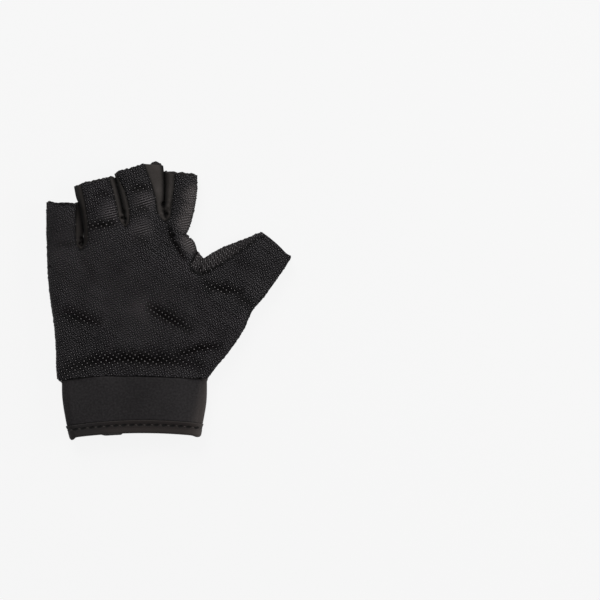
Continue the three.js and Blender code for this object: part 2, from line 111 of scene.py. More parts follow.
# The same for the back
BACK_FINGERS = {
    "little": [
        (-79.2, 33.5, -56.8, 34.2), (-79.4, 41, -56, 41), (-79.4, 49, -56.2, 49),
        (-79.2, 57, -57.6, 57), (-79.2, 64.5, -59.5, 64.5),
    ],
    "ring": [
        (-56.8, 34.2, -28, 48.6), (-55.2, 41.4, -29, 54), (-55.9, 51.5, -30.9, 62.5),
        (-58.6, 63.8, -33.1, 72), (-60, 67.6, -33.8, 74.8), (-61.5, 75, -35.3, 80.5),
    ],
    "middle": [
        (-28, 48.6, -2, 53), (-28.4, 53.6, -3.6, 59), (-30.3, 63, -3.5, 68),
        (-32.5, 72.5, -3.4, 78), (-35.3, 83.2, -4.5, 88.4),
    ],
    "index": [
        (-2, 53, 10.7, 42.9), (-3, 59, 15.2, 54), (-2.9, 67, 17.2, 63),
        (-2.8, 75.5, 18.2, 73), (-3.2, 84.6, 18.6, 82.2),
    ],
}

# The little finger's side of the hand, and the seams between the index finger and the thumb, as
# (across, along) or (across, along, height)
OUTER_SIDE = [
    (-70.2, -52.2), (-72, -50.2), (-72.8, -45), (-73.2, -31.5), (-74.4, -15.5), (-76.8, 1), (-78.4, 17),
    (-79, 33.5),
]
CROTCH_BULGE = [(10.6, 42.9, SIDE_SEAM_HEIGHT), (15.8, 39.3, 5.2), (18, 32.5, 3.9)]
GUSSET_END = [(18, 32.5, 3.9), (16.3, 28.5, 8), (14, 24.5, GUSSET_TOP)]
GUSSET_TURN = [(14, 24.5, GUSSET_TOP), (16.4, 20.2, GUSSET_TOP), (21, 18, GUSSET_TOP)]
BACK_BULGE = [(10.7, 42.9, SIDE_SEAM_HEIGHT), (16.2, 39.3, 5.2), (18.5, 32.7, 3.8)]
BACK_TURN = [(18.5, 32.7, 3.8), (20.4, 30.4, 3.8), (22.6, 28, 3.8)]
GUSSET_START = (0.9, -0.43, 0)

# The edges of the thumb, from the hand to the open end
THUMB_ROOT = [(25, -50), (27.5, -40), (29.5, -28), (29, -12), (26, 4)]
THUMB_LOWER = [
    (25, -50), (31, -42), (39.6, -31.6), (48.1, -18.8), (54.6, -5.2), (61, 2.1), (70.8, 15.8), (79.4, 28.5),
]
THUMB_UPPER = [(21, 18), (25.5, 20), (35, 24.8), (46.5, 32.2), (57, 39.6), (63, 42.5)]
BACK_THUMB_UPPER = [(22.6, 28), (27, 30.9), (35, 35.2), (49.5, 40.8), (60, 45.2)]

# How far the thumb's open end bows out
THUMB_HEM_BOW = np.array((0.6, 0.7, 0))

# Lines across the wrist: left end, right end, the rise between them, and how far that leans (1: not)
CUFF_SEAM = ((-70.2, -52.2), (25, -50), 3.3, 0.6)
CUFF_TOP = ((-69.4, -51.9), (25, -50.2), 3.1, 0.6)
BINDING_TOP = ((-66.4, -80.4), (22.4, -78.8), 3.2, 1)
HEM = ((-64, -88.6), (20.6, -87.4), 2.6, 1)
WRIST_GAP = 0.5

# Folds of the palm side, a row for each: where it runs, half its width, its depth, how far the dots
# gleam in it. Each fold darkens the cloth with painted shade, and the dots' gleam is a painted highlight
FOLDS = [
    (
        [
            (-72, -46.4), (-57.4, -41.8), (-46.8, -38.6), (-29.2, -37.3), (-15, -37.8), (-1, -38.6),
            (11, -39.6), (26, -45),
        ],
        4.6, 2.6, 1.0,
    ),
    ([(-16, -2), (-2, -9.5), (17, -20)], 4.0, 1.6, 0.7),
    ([(21, 12), (33, 8.5), (50, 5.5)], 3.8, 1.6, 0.9),
    ([(3, -36), (18, -31), (36, -29)], 3.2, 1.6, 0.6),
    ([(-70, -6), (-58, -11), (-42, -14)], 4.2, 1.3, 0.5),
    ([(-53, 48), (-43, 49.5), (-32, 52)], 3.0, 1.4, 1.0),
    ([(-1.5, 52), (0.2, 47.5), (2.6, 40.2), (6.2, 34.3), (9.2, 28.8), (12.3, 24.6)], 1.7, 2.2, 0.0),
    ([(-26, 72), (-18, 74), (-10, 73)], 3.0, 1.1, 1.0),
    ([(-22, 60), (-12, 59)], 2.6, 0.9, 0.5),
    ([(-50, 68), (-36, 70)], 2.8, 0.8, 0.5),
    ([(-74, 37), (-60, 36.5)], 2.6, 0.9, 0.3),
    ([(-59, 34), (-52, 22), (-47, 10)], 3.0, 0.6, 0.2),
    ([(-24, 42), (-12, 38)], 3.4, 0.8, 0.3),
    ([(2, 11), (13, 7)], 2.6, 0.6, 0.5),
    ([(42, 4), (57, -3.5)], 3.0, 1.0, 0.3),
    ([(41, 27), (50, 24.5), (61, 20)], 3.4, 0.5, 0.1),
    (
        [
            (14.6, 27.4), (13.7, 24.4), (14.8, 21.4), (17.2, 19), (21, 17.6), (26, 19.4), (31, 22),
            (38, 25.6),
        ],
        1.1, 1.2, 0.2,
    ),
]

# A fold's painted shade is darkest from this depth
DARKEST_FOLD = 1.4

# Soft waves over the palm: how far apart, how high, and their seed
PALM_WAVES = [(17, 0.7, 3.1), (5.5, 0.22, 8.7)]

# Places where the palm cloth is pushed together: across, along, radius, strength of the cross
# ribs, strength of the paler tone (painted sheen, which also brightens the dots), and the ribs' turn in
# degrees
CLOTH_PATCHES = [
    (-15.2, 65.2, 7, 1.0, 0.0, 18),
    (-37, 57.6, 6.5, 1.0, 0.0, 14),
    (-17.2, 47, 7, 0.9, 0.0, 16),
    (17.5, 68, 7, 0.75, 0.75, -4),
    (15.5, 59, 6.5, 0.65, 0.75, 2),
    (12.5, 51, 6.5, 0.85, 0.75, 12),
    (16, 38.5, 7, 1.0, 0.55, 28),
    (-17.4, -4.9, 7, 0.5, 0.0, 14),
]
RIB_PITCH = 1.55
RIB_DEPTH = 0.2

# Unevenness of the cut edges: its depth, and how many bumps for a millimetre
FRAY_DEPTH = 0.45
FRAY_RATE = 0.6

# The back's cloth stands out past the palm's at each finger opening, and the hems of the fingers
# rise and sink at some places: across, radius, rise
BACK_HEM_OUT = 0.8
HEM_RISES = [
    (-77, 1.5, 0.3), (-68, 7, -0.8), (-61, 2.5, -0.9), (-54.8, 3.5, 1.2), (-46, 6, 0.4), (-40, 5, 0.7),
    (-30, 4.5, 1.1), (-9.2, 3.4, 2.9), (0, 3.5, -0.6), (18, 1.1, -0.9),
]

# How far the palm's cloth stands out past the side seams, everywhere and at its dots, how far apart
# those are, and how far from the seam this reaches
EDGE_OUT = 0.2
EDGE_BUMP = 0.45
EDGE_BUMP_SIZE = 1.3
EDGE_BUMP_REACH = 1.5

# How far from a seam the cloth is darker: painted shade in the seam's groove, where the stitches also pull
# the cloth in
SEAM_SHADE_WIDTH = 0.8

# Curls at the foot of the strips between the fingers: across, along, radius, height; a sunk curl gets
# painted shade, a raised one is painted lighter
STRIP_CURLS = [
    (-57.7, 37.7, 0.65, -1.6), (-55.4, 38.0, 0.7, -1.8), (-56.6, 37.3, 0.5, 1.2), (-55.0, 42.4, 1.2, 1.1),
    (-56.7, 41, 0.9, -1.1), (-56.9, 35, 0.9, 0.4),
    (-30.6, 54.2, 0.8, -1.6), (-27.8, 53.6, 0.8, -1.7), (-29.8, 56.0, 0.9, 1.2), (-29.1, 52.2, 0.7, 1.0),
    (-28.8, 58.2, 1.1, -1.0),
    (-2.6, 60.0, 1.2, 1.4), (-0.5, 61.8, 1.4, 1.2), (0.8, 65.0, 1.5, 0.8), (-0.9, 56.8, 1.0, -1.9),
    (-3.8, 63.2, 1.3, -1.2), (-4.1, 56.8, 0.9, 0.8), (0.9, 57.4, 0.8, 0.8),
]

# The strips between the fingers: their cells across, and how many points beside the middle one make
# the foot
FORCHETTE_COLUMNS = 24
FOOT_POINTS = 6

# Where the two sides of a strip lean on each other, left side first: how far from the lower seam, and
# how high
LEAN_REACH = (0.55, 0.25)
LEAN_HEIGHTS = (7.4, 5.2)
LEAN_AT_FOOT = 1.1

# How wide the painted shade is on the left and the right side of each strip, darkest where its two sides
# lean on each other
STRIP_SHADE_WIDTHS = [(4.2, 3.4), (1.7, 1.7), (1.5, 2.8)]

# The gusset: its cells, how far it bellies out, and where its painted shade is deepest, in the crotch fold,
# as across, along and radius
GUSSET_COLUMNS = 26
GUSSET_ROWS = 150
GUSSET_BELLY = 1.0
GUSSET_FOLD_SHADE = (20.7, 21.8, 1.8)

# The sleeves of the cuff: points round the wrist and along the outer and inner faces, steps of a
# rounded corner, and the radius of their upper edge
SLEEVE_STATIONS = 260
OUTER_POINTS = 44
INNER_POINTS = 32
ROUND_STEPS = 5
SLEEVE_EDGE_ROUND = 0.5

# The wrist's middle, where lengths are taken, and the band's own middle and half width
WRIST_MIDDLE = -22
BAND_MIDDLE = -22.4
BAND_HALF = 46

# The band's upper end is tucked under the hand's cloth, as far and as deep as this
BAND_TUCKED = 1.7
BAND_TUCK_DEPTH = 1.75
BAND_HEM_ROUND = 0.6

# How much flatter the band's palm side gets towards the little finger and towards the thumb: from
# and to which distance from its middle, and by how much
BAND_FALLS = [(16, 46, 1.6), (24, 48, 2.6)]

# How much its upper corners stand out, and over which length
BAND_CORNER = 1.4
BAND_CORNER_LENGTH = 0.9

# The binding stands proud of the band, and its stitches sink into it at a share of its length
BINDING_PROUD = 0.4
BINDING_HEM_ROUND = 1.39
STITCH_SINK = 0.4
STITCH_SHARE = 0.36
STITCH_SINK_WIDTH = 0.12

# How much lower the hem hangs at its ends, as across, radius and drop, and over part of the back
HEM_ENDS = [(-64.3, 2.6, 1.44), (19.5, 3, 0.72)]
HEM_BACK_DROP = 1.25

# The row of stitches: how many, their pitch on the tape, how far below its edge, how wide each one
# pulls the tape in, and a thread's size
STITCHES = 36
STITCH_PITCH = 2 * (BINDING_TOP[1][0] - BINDING_TOP[0][0]) / STITCHES
STITCH_DEPTH = 2.6
STITCH_PULL = 1.5
STITCH_SIZE = {"Length": 1.7, "Width": 0.9, "Height": 0.7}

# The UV map: millimetres of flat cloth for one unit, and how many units the inner face lies beside
# the outer one
FLAT_SCALE = 100
INSIDE_SHIFT = 20

# The dots' lattice on the flat cloth: the two steps from one dot to the next, and how many of each;
# then a dot's size and its pit
DOT_STEP = (2.05, -1.38)
DOT_ROW_STEP = (-1.3, -2.4)
LATTICE_REACH = 140
DOT_WIDTH = 0.74
DOT_HEIGHT = 0.28
DOT_SEED = 7
PIT_RADIUS = 1.25

# Pitches of the knit's net lines, both ways across the cloth, and of the plain cloths' fine ribs
NET_PITCH = 1 / 0.58
WALE_PITCH = 0.9
COURSE_PITCH = 0.7
STRIP_RIB_PITCH = 0.6
TAPE_RIB_PITCH = 0.8

# Each cloth's flat size by its node: width, length and area, in metres
SHEETS = {
    "palm_panel": (0.163, 0.143, 0.01505),
    "back_panel": (0.163, 0.145, 0.01629),
    "thumb_gusset": (0.0148, 0.065, 0.00066),
    "forchette_little_ring": (0.0108, 0.0772, 0.00064),
    "forchette_ring_middle": (0.01, 0.0722, 0.00056),
    "forchette_middle_index": (0.0163, 0.0737, 0.00077),
    "cuff_band": (0.198, 0.0307, 0.006),
    "cuff_binding": (0.19, 0.01, 0.00182),
    "closure_tab": (0.042, 0.012, 0.00049),
}

# How far the tab's edges are rounded, and the floor's half width and level, in metres
TAB_EDGE_ROUND = 0.0006
FLOOR_HALF = 3.0
FLOOR_LEVEL = -0.0002

# How brightly the floor and the surroundings shine
FLOOR_GLOW = 0.88
SKY_STRENGTH = 0.3

# The lamps: place and size in metres, and power in watts
LAMPS = {"key": ((-0.35, 1.15, 1.0), 0.8, 15), "side": ((1.2, 0.15, 0.45), 0.7, 12)}

# What the camera sees: its middle, and its width at that height, in metres
PHOTO_CENTRE = (0.08536, 0.0003)
PHOTO_WIDTH = 0.39
PHOTO_HEIGHT = 0.007
LENS = 150
SENSOR = 36


def fading(distance, width):
    """1 at no distance, and falling smoothly, to about a third at that width."""
    return np.exp(-((distance / width) ** 2))


def unit(rows):
    """The same directions, each with the length 1."""
    return rows / np.linalg.norm(rows, axis=1, keepdims=True)


def spread(points, x, y):
    """Distance of each point from a place on the plan."""
    return np.hypot(points[..., 0] - x, points[..., 1] - y)


def curve_between(start, leave, stop, arrive, t):
    """Places on a curve from start to stop that leaves and arrives with those slopes."""
    return (
        start * (2 * t**3 - 3 * t**2 + 1) + leave * (t**3 - 2 * t**2 + t)
        + stop * (3 * t**2 - 2 * t**3) + arrive * (t**3 - t**2)
    )


def smooth_line(table, shares, height=0.0):
    """Points at those shares of the length of a smooth curve through the table's points."""
    knots = np.array([(*row, height)[:3] for row in table], float)
    ends = [2 * knots[0] - knots[1], *knots, 2 * knots[-1] - knots[-2]]
    t = np.linspace(0, 1, CURVE_STEPS, endpoint=False)[:, None]
    stretches = []
    for four in zip(ends, ends[1:], ends[2:], ends[3:]):
        before, start, stop, after = four
        d0, d1, d2 = np.linalg.norm(np.diff(four, axis=0), axis=1) ** 0.5
        leave = ((start - before) / d0 - (stop - before) / (d0 + d1) + (stop - start) / d1) * d1
        arrive = ((stop - start) / d1 - (after - start) / (d1 + d2) + (after - stop) / d2) * d1
        stretches.append(curve_between(start, leave, stop, arrive, t))
    return at_shares(np.vstack([*stretches, knots[-1:]]), shares)


def lengths_along(points):
    """Length from the start of a line to each of its points."""
    return np.concatenate([[0], np.cumsum(np.linalg.norm(np.diff(points, axis=0), axis=1))])


def shares_along(points):
    """Share of the whole length at each point of a line."""
    lengths = lengths_along(points)
    return lengths / lengths[-1]


def at_shares(line, shares):
    """Points at those shares of a line's length."""
    lengths = shares_along(line)
    return np.column_stack([np.interp(shares, lengths, line[:, axis]) for axis in range(3)])


def even(count):
    """Even shares from 0 to 1 in that many steps."""
    return np.linspace(0, 1, count + 1)


def eased(count, strength=0.35):
    """Shares from 0 to 1 whose steps are shorter at both ends."""
    return even(count) * (1 - strength) + strength * (1 - np.cos(np.pi * even(count))) / 2


def passage(start, stop, place):
    """0 before `start`, 1 past `stop`, and smooth between."""
    share = np.clip((np.asarray(place, float) - start) / (stop - start), 0, 1)
    return share**3 * (share * (6 * share - 15) + 10)


def wrist_line(line, across):
    """Place along the hand of a line across the wrist."""
    (left_x, left_y), (right_x, right_y), rise, skew = line
    share = np.clip((across - left_x) / (right_x - left_x), 0, 1)
    return left_y + (right_y - left_y) * share + rise * 4 * share**skew * (1 - share**skew)


def sleeve_length(top, bottom):
    """How far apart two lines across the wrist are at its middle."""
    return abs(wrist_line(top, WRIST_MIDDLE) - wrist_line(bottom, WRIST_MIDDLE))


def fill_grid(bottom, top, left, right):
    """Fills a grid between four edges: bottom and top run across, left and right run up."""
    u = shares_along(bottom)[None, :, None]
    v = shares_along(left)[:, None, None]
    across = left[:, None] * (1 - u) + right[:, None] * u
    along = bottom[None] * (1 - v) + top[None] * v
    low = bottom[0] * (1 - u) + bottom[-1] * u
    high = top[0] * (1 - u) + top[-1] * u
    grid = across + along - low * (1 - v) - high * v
    grid[0], grid[-1], grid[:, 0], grid[:, -1] = bottom, top, left, right
    return grid


def nearest_on_line(points, line):
    """For each point: the shortest distance on the plan to a line, and the line's height there."""
    start, span = line[:-1], np.diff(line, axis=0)
    best = np.full(len(points), np.inf)
    height = np.zeros(len(points))
    for a, d in zip(start, span):
        share = np.clip(((points[:, :2] - a[:2]) @ d[:2]) / max(d[:2] @ d[:2], 1e-9), 0, 1)
        gap = np.hypot(points[:, 0] - a[0] - d[0] * share, points[:, 1] - a[1] - d[1] * share)
        closer = gap < best
        best[closer] = gap[closer]
        height[closer] = (a[2] + d[2] * share)[closer]
    return best, height


def edge_drop(distance):
    """1 on a seam, falling along a quarter round to 0 where the cloth has its full height."""
    share = np.minimum(distance / EDGE_ROUNDING, 1)
    return 1 - np.sqrt(1 - (1 - share) ** 2)


def frayed(line, seed):
    """A cut edge whose points stand unevenly along the hand."""
    uneven = [noise.noise(Vector((x * FRAY_RATE, y * FRAY_RATE, seed))) for x, y, _ in line]
    return line + np.outer(uneven, (0, 2 * FRAY_DEPTH, 0))


def humps(points, size, seed):
    """Even random relief between about -1 and 1, with humps about that far apart."""
    values = [noise.noise(Vector((x / size, y / size, seed))) for x, y, _ in points.reshape(-1, 3)]
    return np.reshape(values, points.shape[:-1]) * 1.6


def numbered(rows, columns):
    """The numbers of a grid's points, row by row."""
    return np.arange(rows * columns).reshape(rows, columns)


def grid_quads(index):
    """Quads between the numbered points of a grid."""
    return np.stack([index[:-1, :-1], index[:-1, 1:], index[1:, 1:], index[1:, :-1]], -1).reshape(-1, 4)


def finger_grid(rows, heights, seed, hem_out):
    """A finger's net, its left and right edges at those heights, and its open end cut unevenly."""
    left, right = (
        smooth_line([row[side : side + 2] for row in rows], even(FINGER_ROWS), height)
        for side, height in zip((0, 2), heights)
    )
    share = eased(FINGER_COLUMNS)[None, :, None]
    grid = left[:, None] * (1 - share) + right[:, None] * share
    hem = frayed(grid[-1, 1:-1], seed)
    rise = sum(lift * fading(hem[:, 0] - x, radius) for x, radius, lift in HEM_RISES)
    hem[:, 1] += hem_out + rise * passage(0, 0.12, even(FINGER_COLUMNS)[1:-1])
    grid[-1, 1:-1] = hem
    return grid


def crotch_line(*stretches):
    """The seam from the thumb up to the index finger: stretches of a table listed downwards, and shares."""
    rows = (even(CROTCH_SHARES) * CROTCH_ROWS).round().astype(int)
    pieces, done = [], 0
    for table, share in stretches:
        count = rows[done + share] - rows[done]
        done += share
        line = smooth_line(table, even(count))[::-1]
        pieces.append(line[1:] if pieces else line)
    return np.vstack(pieces)


class Panel:
    """One side of the hand as one net of points: fingers, hand and thumb."""

    def __init__(self, fingers, slot_height, side_height, crotch, thumb_upper, hem_out=0.0):
        heights = [side_height, *[slot_height] * (len(fingers) - 1), side_height]
        self.fingers = [
            finger_grid(rows, heights[i : i + 2], slot_height + i, hem_out)
            for i, rows in enumerate(fingers.values())
        ]
        knuckles = np.vstack([self.fingers[0][0]] + [grid[0][1:] for grid in self.fingers[1:]])
        outer = smooth_line(OUTER_SIDE, even(HEEL_ROWS + CROTCH_ROWS), side_height)
        outer[-1] = knuckles[0]
        root = smooth_line([*THUMB_ROOT, crotch[0][:2]], eased(HEEL_ROWS), side_height)
        root[-1] = crotch[0]
        inner = np.vstack([root, crotch[1:]])
        inner[-1] = knuckles[-1]
        across = outer[0, 0] + (inner[0, 0] - outer[0, 0]) * shares_along(knuckles)
        heel = np.column_stack([across, wrist_line(CUFF_SEAM, across), np.zeros(len(across))])
        heel[0], heel[-1] = outer[0], inner[0]
        lower = smooth_line(THUMB_LOWER, even(THUMB_COLUMNS), side_height)
        lower[0] = inner[0]
        thumb_upper[0] = crotch[0]
        share = eased(HEEL_ROWS)[:, None]
        bow = THUMB_HEM_BOW * (27 / 4 * share**2 * (1 - share))
        end = lower[-1] * (1 - share) + thumb_upper[-1] * share + bow
        hand = fill_grid(heel, knuckles, outer, inner)
        thumb = fill_grid(lower, thumb_upper, root, end)
        self.crotch = inner[HEEL_ROWS:]
        self.thumb_upper = thumb_upper
        self.grids = [*self.fingers, hand, thumb]
        sides = [grid[:, column] for grid in self.fingers for column in (0, -1)]
        self.seams = [*sides, outer, self.crotch, lower, thumb_upper]
        self.weld()

    def weld(self):
        """Joins the grids into one list of points and one of quads."""
        stacked = np.vstack([grid.reshape(-1, 3) for grid in self.grids])
        places = np.round(stacked[:, :2], 4)
        _, first, same = np.unique(places, axis=0, return_index=True, return_inverse=True)
        self.points = stacked[first]
        ends = np.cumsum([grid[..., 0].size for grid in self.grids])
        numbers = np.split(same.ravel(), ends[:-1])
        shaped = [part.reshape(grid.shape[:2]) for part, grid in zip(numbers, self.grids)]
        self.quads = np.vstack([grid_quads(index) for index in shaped])
        thinned = [seam[::4] if len(seam) > 40 else seam for seam in self.seams]
        self.near = [nearest_on_line(self.points, seam) for seam in thinned]
        self.distance = np.min([distance for distance, _ in self.near], axis=0)
        exact = {tuple(np.round(p[:2], 4)) for seam in self.seams for p in seam}
        self.on_seam = np.array([tuple(p) in exact for p in places[first]])


def outward(points, quads, on_seam):
    """Outward direction at each point, level on a side seam."""
    a, b, c, d = (points[quads[:, corner]] for corner in range(4))
    normal = np.cross(c - a, d - b)
    total = np.zeros_like(points)
    for corner in range(4):
        for axis in range(3):
            total[:, axis] += np.bincount(quads[:, corner], normal[:, axis], len(points))
    total[on_seam, 2] = 0
    return total / np.maximum(np.linalg.norm(total, axis=1, keepdims=True), 1e-9)


def flat_cut(points, quads, rounds=260):
    """Lays a net of cloth flat: plan positions that are moved until its threads have their true lengths."""
    sides = [quads[:, [i, j]] for i, j in ((0, 1), (1, 2), (2, 3), (3, 0), (0, 2), (1, 3))]
    pairs = np.unique(np.sort(np.vstack(sides), axis=1), axis=0)
    a, b = pairs[:, 0], pairs[:, 1]
    wanted = np.linalg.norm(points[b] - points[a], axis=1)
    count = len(points)
    shared = np.bincount(a, minlength=count) + np.bincount(b, minlength=count)
    flat = points[:, :2].copy()
    for _ in range(rounds):
        span = flat[b] - flat[a]
        length = np.maximum(np.linalg.norm(span, axis=1), 1e-6)
        pull = span * ((length - wanted) / length)[:, None]
        for axis in range(2):
            move = np.bincount(a, pull[:, axis], count) - np.bincount(b, pull[:, axis], count)
            flat[:, axis] += move / shared
    return flat


def put(name, data):
    """A new object in the scene."""
    thing = bpy.data.objects.new(name, data)
    bpy.context.scene.collection.objects.link(thing)
    return thing


def new_mesh(name, points, faces, flat_of_loops, marks=None):
    """A mesh object from points in millimetres, with its flat cut as UV map and marks on its points."""
    mesh = bpy.data.meshes.new(name)
    mesh.from_pydata(((points + np.array(ORIGIN_SHIFT)) * MM).tolist(), [], faces.tolist())
    layer = mesh.uv_layers.new(name="flat")
    layer.data.foreach_set("uv", (flat_of_loops / FLAT_SCALE).astype(np.float32).ravel())
    for mark, values in (marks or {}).items():
        attribute = mesh.attributes.new(mark, "FLOAT", "POINT")
        attribute.data.foreach_set("value", values.astype(np.float32))
    mesh.shade_smooth()
    return put(name, mesh)


def cloth_shell(name, points, quads, directions, wall, flat, marks=None):
    """A closed wall of cloth: the outer net, its copy inward by the wall, and the rim between them."""
    count = len(points)
    both = np.vstack([points, points - directions * wall])
    sides = np.vstack([quads[:, [i, j]] for i, j in ((0, 1), (1, 2), (2, 3), (3, 0))])
    known = {tuple(side) for side in sides}
    rim = np.array([(b, a, a + count, b + count) for a, b in known if (b, a) not in known])
    rim = rim[np.lexsort(rim.T[::-1])]
    faces = np.vstack([quads, quads[:, ::-1] + count, rim])
    loops = flat[faces.ravel() % count]
    loops[4 * len(quads) : 8 * len(quads), 0] += INSIDE_SHIFT * FLAT_SCALE
    marks = {mark: np.concatenate([values, np.zeros(count)]) for mark, values in (marks or {}).items()}
    marks["inside"] = np.concatenate([np.zeros(count), np.ones(count)])
    return new_mesh(name, both, faces, loops, marks)


def palm_relief(panel):
    """Heights of the palm side, its folds and soft waves, and where its ribs and paler tone lie, with
    painted shade in the folds, painted sheen as the paler tone, and painted highlights on the dots.
    """
    points = panel.points
    cuff_top = CUFF_UNDERSIDE + CUFF_HEIGHT
    palm = cuff_top + (PALM_CROWN - cuff_top) * passage(*CUFF_TO_PALM, points[:, 1])
    crown = palm + (FINGER_CROWN - palm) * passage(*PALM_TO_FINGERS, points[:, 1])
    height = crown.copy()
    for distance, seam_height in panel.near:
        height = np.minimum(height, crown - (crown - seam_height) * edge_drop(distance))
    clear = passage(0, EDGE_ROUNDING, panel.distance)
    uneven = 1 + 0.3 * humps(points, 4, seed=9.4)
    ribs, pale, rib_way, shade, gleam = (np.zeros(len(points)) for _ in range(5))
    for path, width, depth, shine in FOLDS:
        line = smooth_line(path, even(FOLD_STEPS))
        line[:, 2] = np.sin(np.pi * even(FOLD_STEPS)) ** 0.4
        distance, strength = nearest_on_line(points, line)
        height -= depth * strength * fading(distance, width) * clear
        # Painted shade in the fold, and a painted highlight on the dots there
        dark = min(depth / DARKEST_FOLD, 1) * strength * fading(distance * uneven, width)
        shade = np.maximum(shade, dark)
        gleam = np.maximum(gleam, dark * shine)
    waves = sum(tall * humps(points, size, seed) for size, tall, seed in PALM_WAVES)
    height += waves * (0.15 + 0.85 * clear)
    for x, y, radius, strength, paler, turn in CLOTH_PATCHES:
        reach = np.exp(-((spread(points, x, y) / radius) ** 3))
        angle = math.radians(turn)
        way = points[:, 1] * math.cos(angle) - points[:, 0] * math.sin(angle)
        rib_way = np.where(strength * reach > ribs, way, rib_way)
        ribs = np.maximum(ribs, strength * reach)
        # The paler tone is painted sheen on the pushed cloth, with a painted highlight on its dots
        pale = np.maximum(pale, paler * reach)
        gleam = np.maximum(gleam, 0.7 * paler * reach)
    points[:, 2] = np.where(panel.on_seam, points[:, 2], height)
    # Painted shade along the seams
    seam = fading(panel.distance, SEAM_SHADE_WIDTH)
    return {"ribs": ribs, "pale": pale, "rib_way": rib_way, "seam": seam, "shade": shade, "gleam": gleam}


def back_relief(panel):
    """Heights of the back: flat on the surface, rising to the seams and the cuff."""
    points = panel.points
    height = CUFF_UNDERSIDE * (1 - passage(*CUFF_TO_BACK, points[:, 1]))
    for distance, seam_height in panel.near:
        height = np.maximum(height, seam_height * edge_drop(distance))
    ripple = 0.12 * np.abs(humps(points, 22, seed=5.3)) * passage(0, EDGE_ROUNDING, panel.distance)
    points[:, 2] = np.where(panel.on_seam, points[:, 2], height + ripple)


def rippled(points, directions, marks):
    """Moves the points in and out by the cross ribs."""
    wave = np.cos(2 * np.pi * marks["rib_way"] / RIB_PITCH)
    return points + directions * (RIB_DEPTH * marks["ribs"] * wave)[:, None]


def palm_side():
    """The net of the palm with the finger fronts and the thumb's front."""
    crotch = crotch_line((GUSSET_TURN, 2), (GUSSET_END, 1), (CROTCH_BULGE, 2))
    thumb_upper = smooth_line(THUMB_UPPER, even(THUMB_COLUMNS), GUSSET_TOP)
    return Panel(PALM_FINGERS, FORCHETTE_TOP, SIDE_SEAM_HEIGHT, crotch, thumb_upper)


def back_side():
    """The net of the back with the finger backs and the thumb's back."""
    crotch = crotch_line((BACK_TURN, 2), (BACK_BULGE, 3)) - (0, 0, SEAM_GAP)
    thumb_upper = smooth_line(BACK_THUMB_UPPER, even(THUMB_COLUMNS), FORCHETTE_FOOT)
    side_height = SIDE_SEAM_HEIGHT - SEAM_GAP
    return Panel(BACK_FINGERS, FORCHETTE_FOOT, side_height, crotch, thumb_upper, BACK_HEM_OUT)


def palm_panel(palm):
    """The palm's grip knit, with its folds and ribs and its knobbly edge."""
    marks = palm_relief(palm)
    flat = flat_cut(palm.points, palm.quads)
    directions = outward(palm.points, palm.quads, palm.on_seam)
    bumps = EDGE_OUT + EDGE_BUMP * np.abs(humps(palm.points, EDGE_BUMP_SIZE, seed=4.2))
    points = rippled(palm.points, directions, marks)
    points += directions * (bumps * fading(palm.distance, EDGE_BUMP_REACH))[:, None]
    return cloth_shell("palm_cloth", points, palm.quads, directions, PALM_WALL, flat, marks)


def back_panel(back):
    """The back's plain stretch knit."""
    back_relief(back)
    flat = flat_cut(back.points, back.quads)
    quads = back.quads[:, ::-1]
    directions = outward(back.points, quads, back.on_seam)
    return cloth_shell("back_cloth", back.points, quads, directions, BACK_WALL, flat)


def strip_shell(name, net, wall, marks):
    """A cloth wall from a strip's net, its outer face where the net's normals point."""
    rows, columns = net.shape[:2]
    widths = np.linalg.norm(net[:, -1] - net[:, 0], axis=1)[:, None] * even(columns - 1)[None]
    edge = np.minimum(widths, widths[:, ::-1]).ravel()
    points = net.reshape(-1, 3)
    quads = grid_quads(numbered(rows, columns))[:, ::-1]
    ends = np.zeros((rows, columns), bool)
    ends[:, 0] = ends[:, -1] = True
    directions = outward(points, quads, ends.ravel())
    across, along = lengths_along(net[rows // 2]), lengths_along(net[:, columns // 2])
    flat = np.stack(np.meshgrid(across, along), -1).reshape(-1, 2)
    marks = {**marks, "seam": fading(edge, SEAM_SHADE_WIDTH)}
    return cloth_shell(name, points, quads, directions, wall, flat, marks)


def slot_line(panel, slot, rise):
    """Seam round one slot between two fingers: down the left finger, round the root, up the right one."""
    line = np.vstack([panel.fingers[slot][::-1, -1], panel.fingers[slot + 1][1:, 0]])
    return line + (0, 0, rise)


def net_through(lines, columns):
    """A net whose rows run smoothly through the points of those lines, one after another."""
    lines = np.array(lines)
    slopes = np.gradient(lines, axis=0)
    place = even(columns) * (len(lines) - 1)
    span = np.minimum(place.astype(int), len(lines) - 2)
    t = (place - span)[:, None, None]
    net = curve_between(lines[span], slopes[span], lines[span + 1], slopes[span + 1], t)
    return net.transpose(1, 0, 2)


def into_slot(line):
    """Level directions from a slot's seam into the slot, each a mean over nine points."""
    tangent = np.gradient(line, axis=0)
    inward = unit(np.column_stack([-tangent[:, 1], tangent[:, 0], np.zeros(len(line))]))
    for axis in range(2):
        inward[:, axis] = np.convolve(np.pad(inward[:, axis], 4, "edge"), np.ones(9) / 9, "valid")
    return unit(inward)


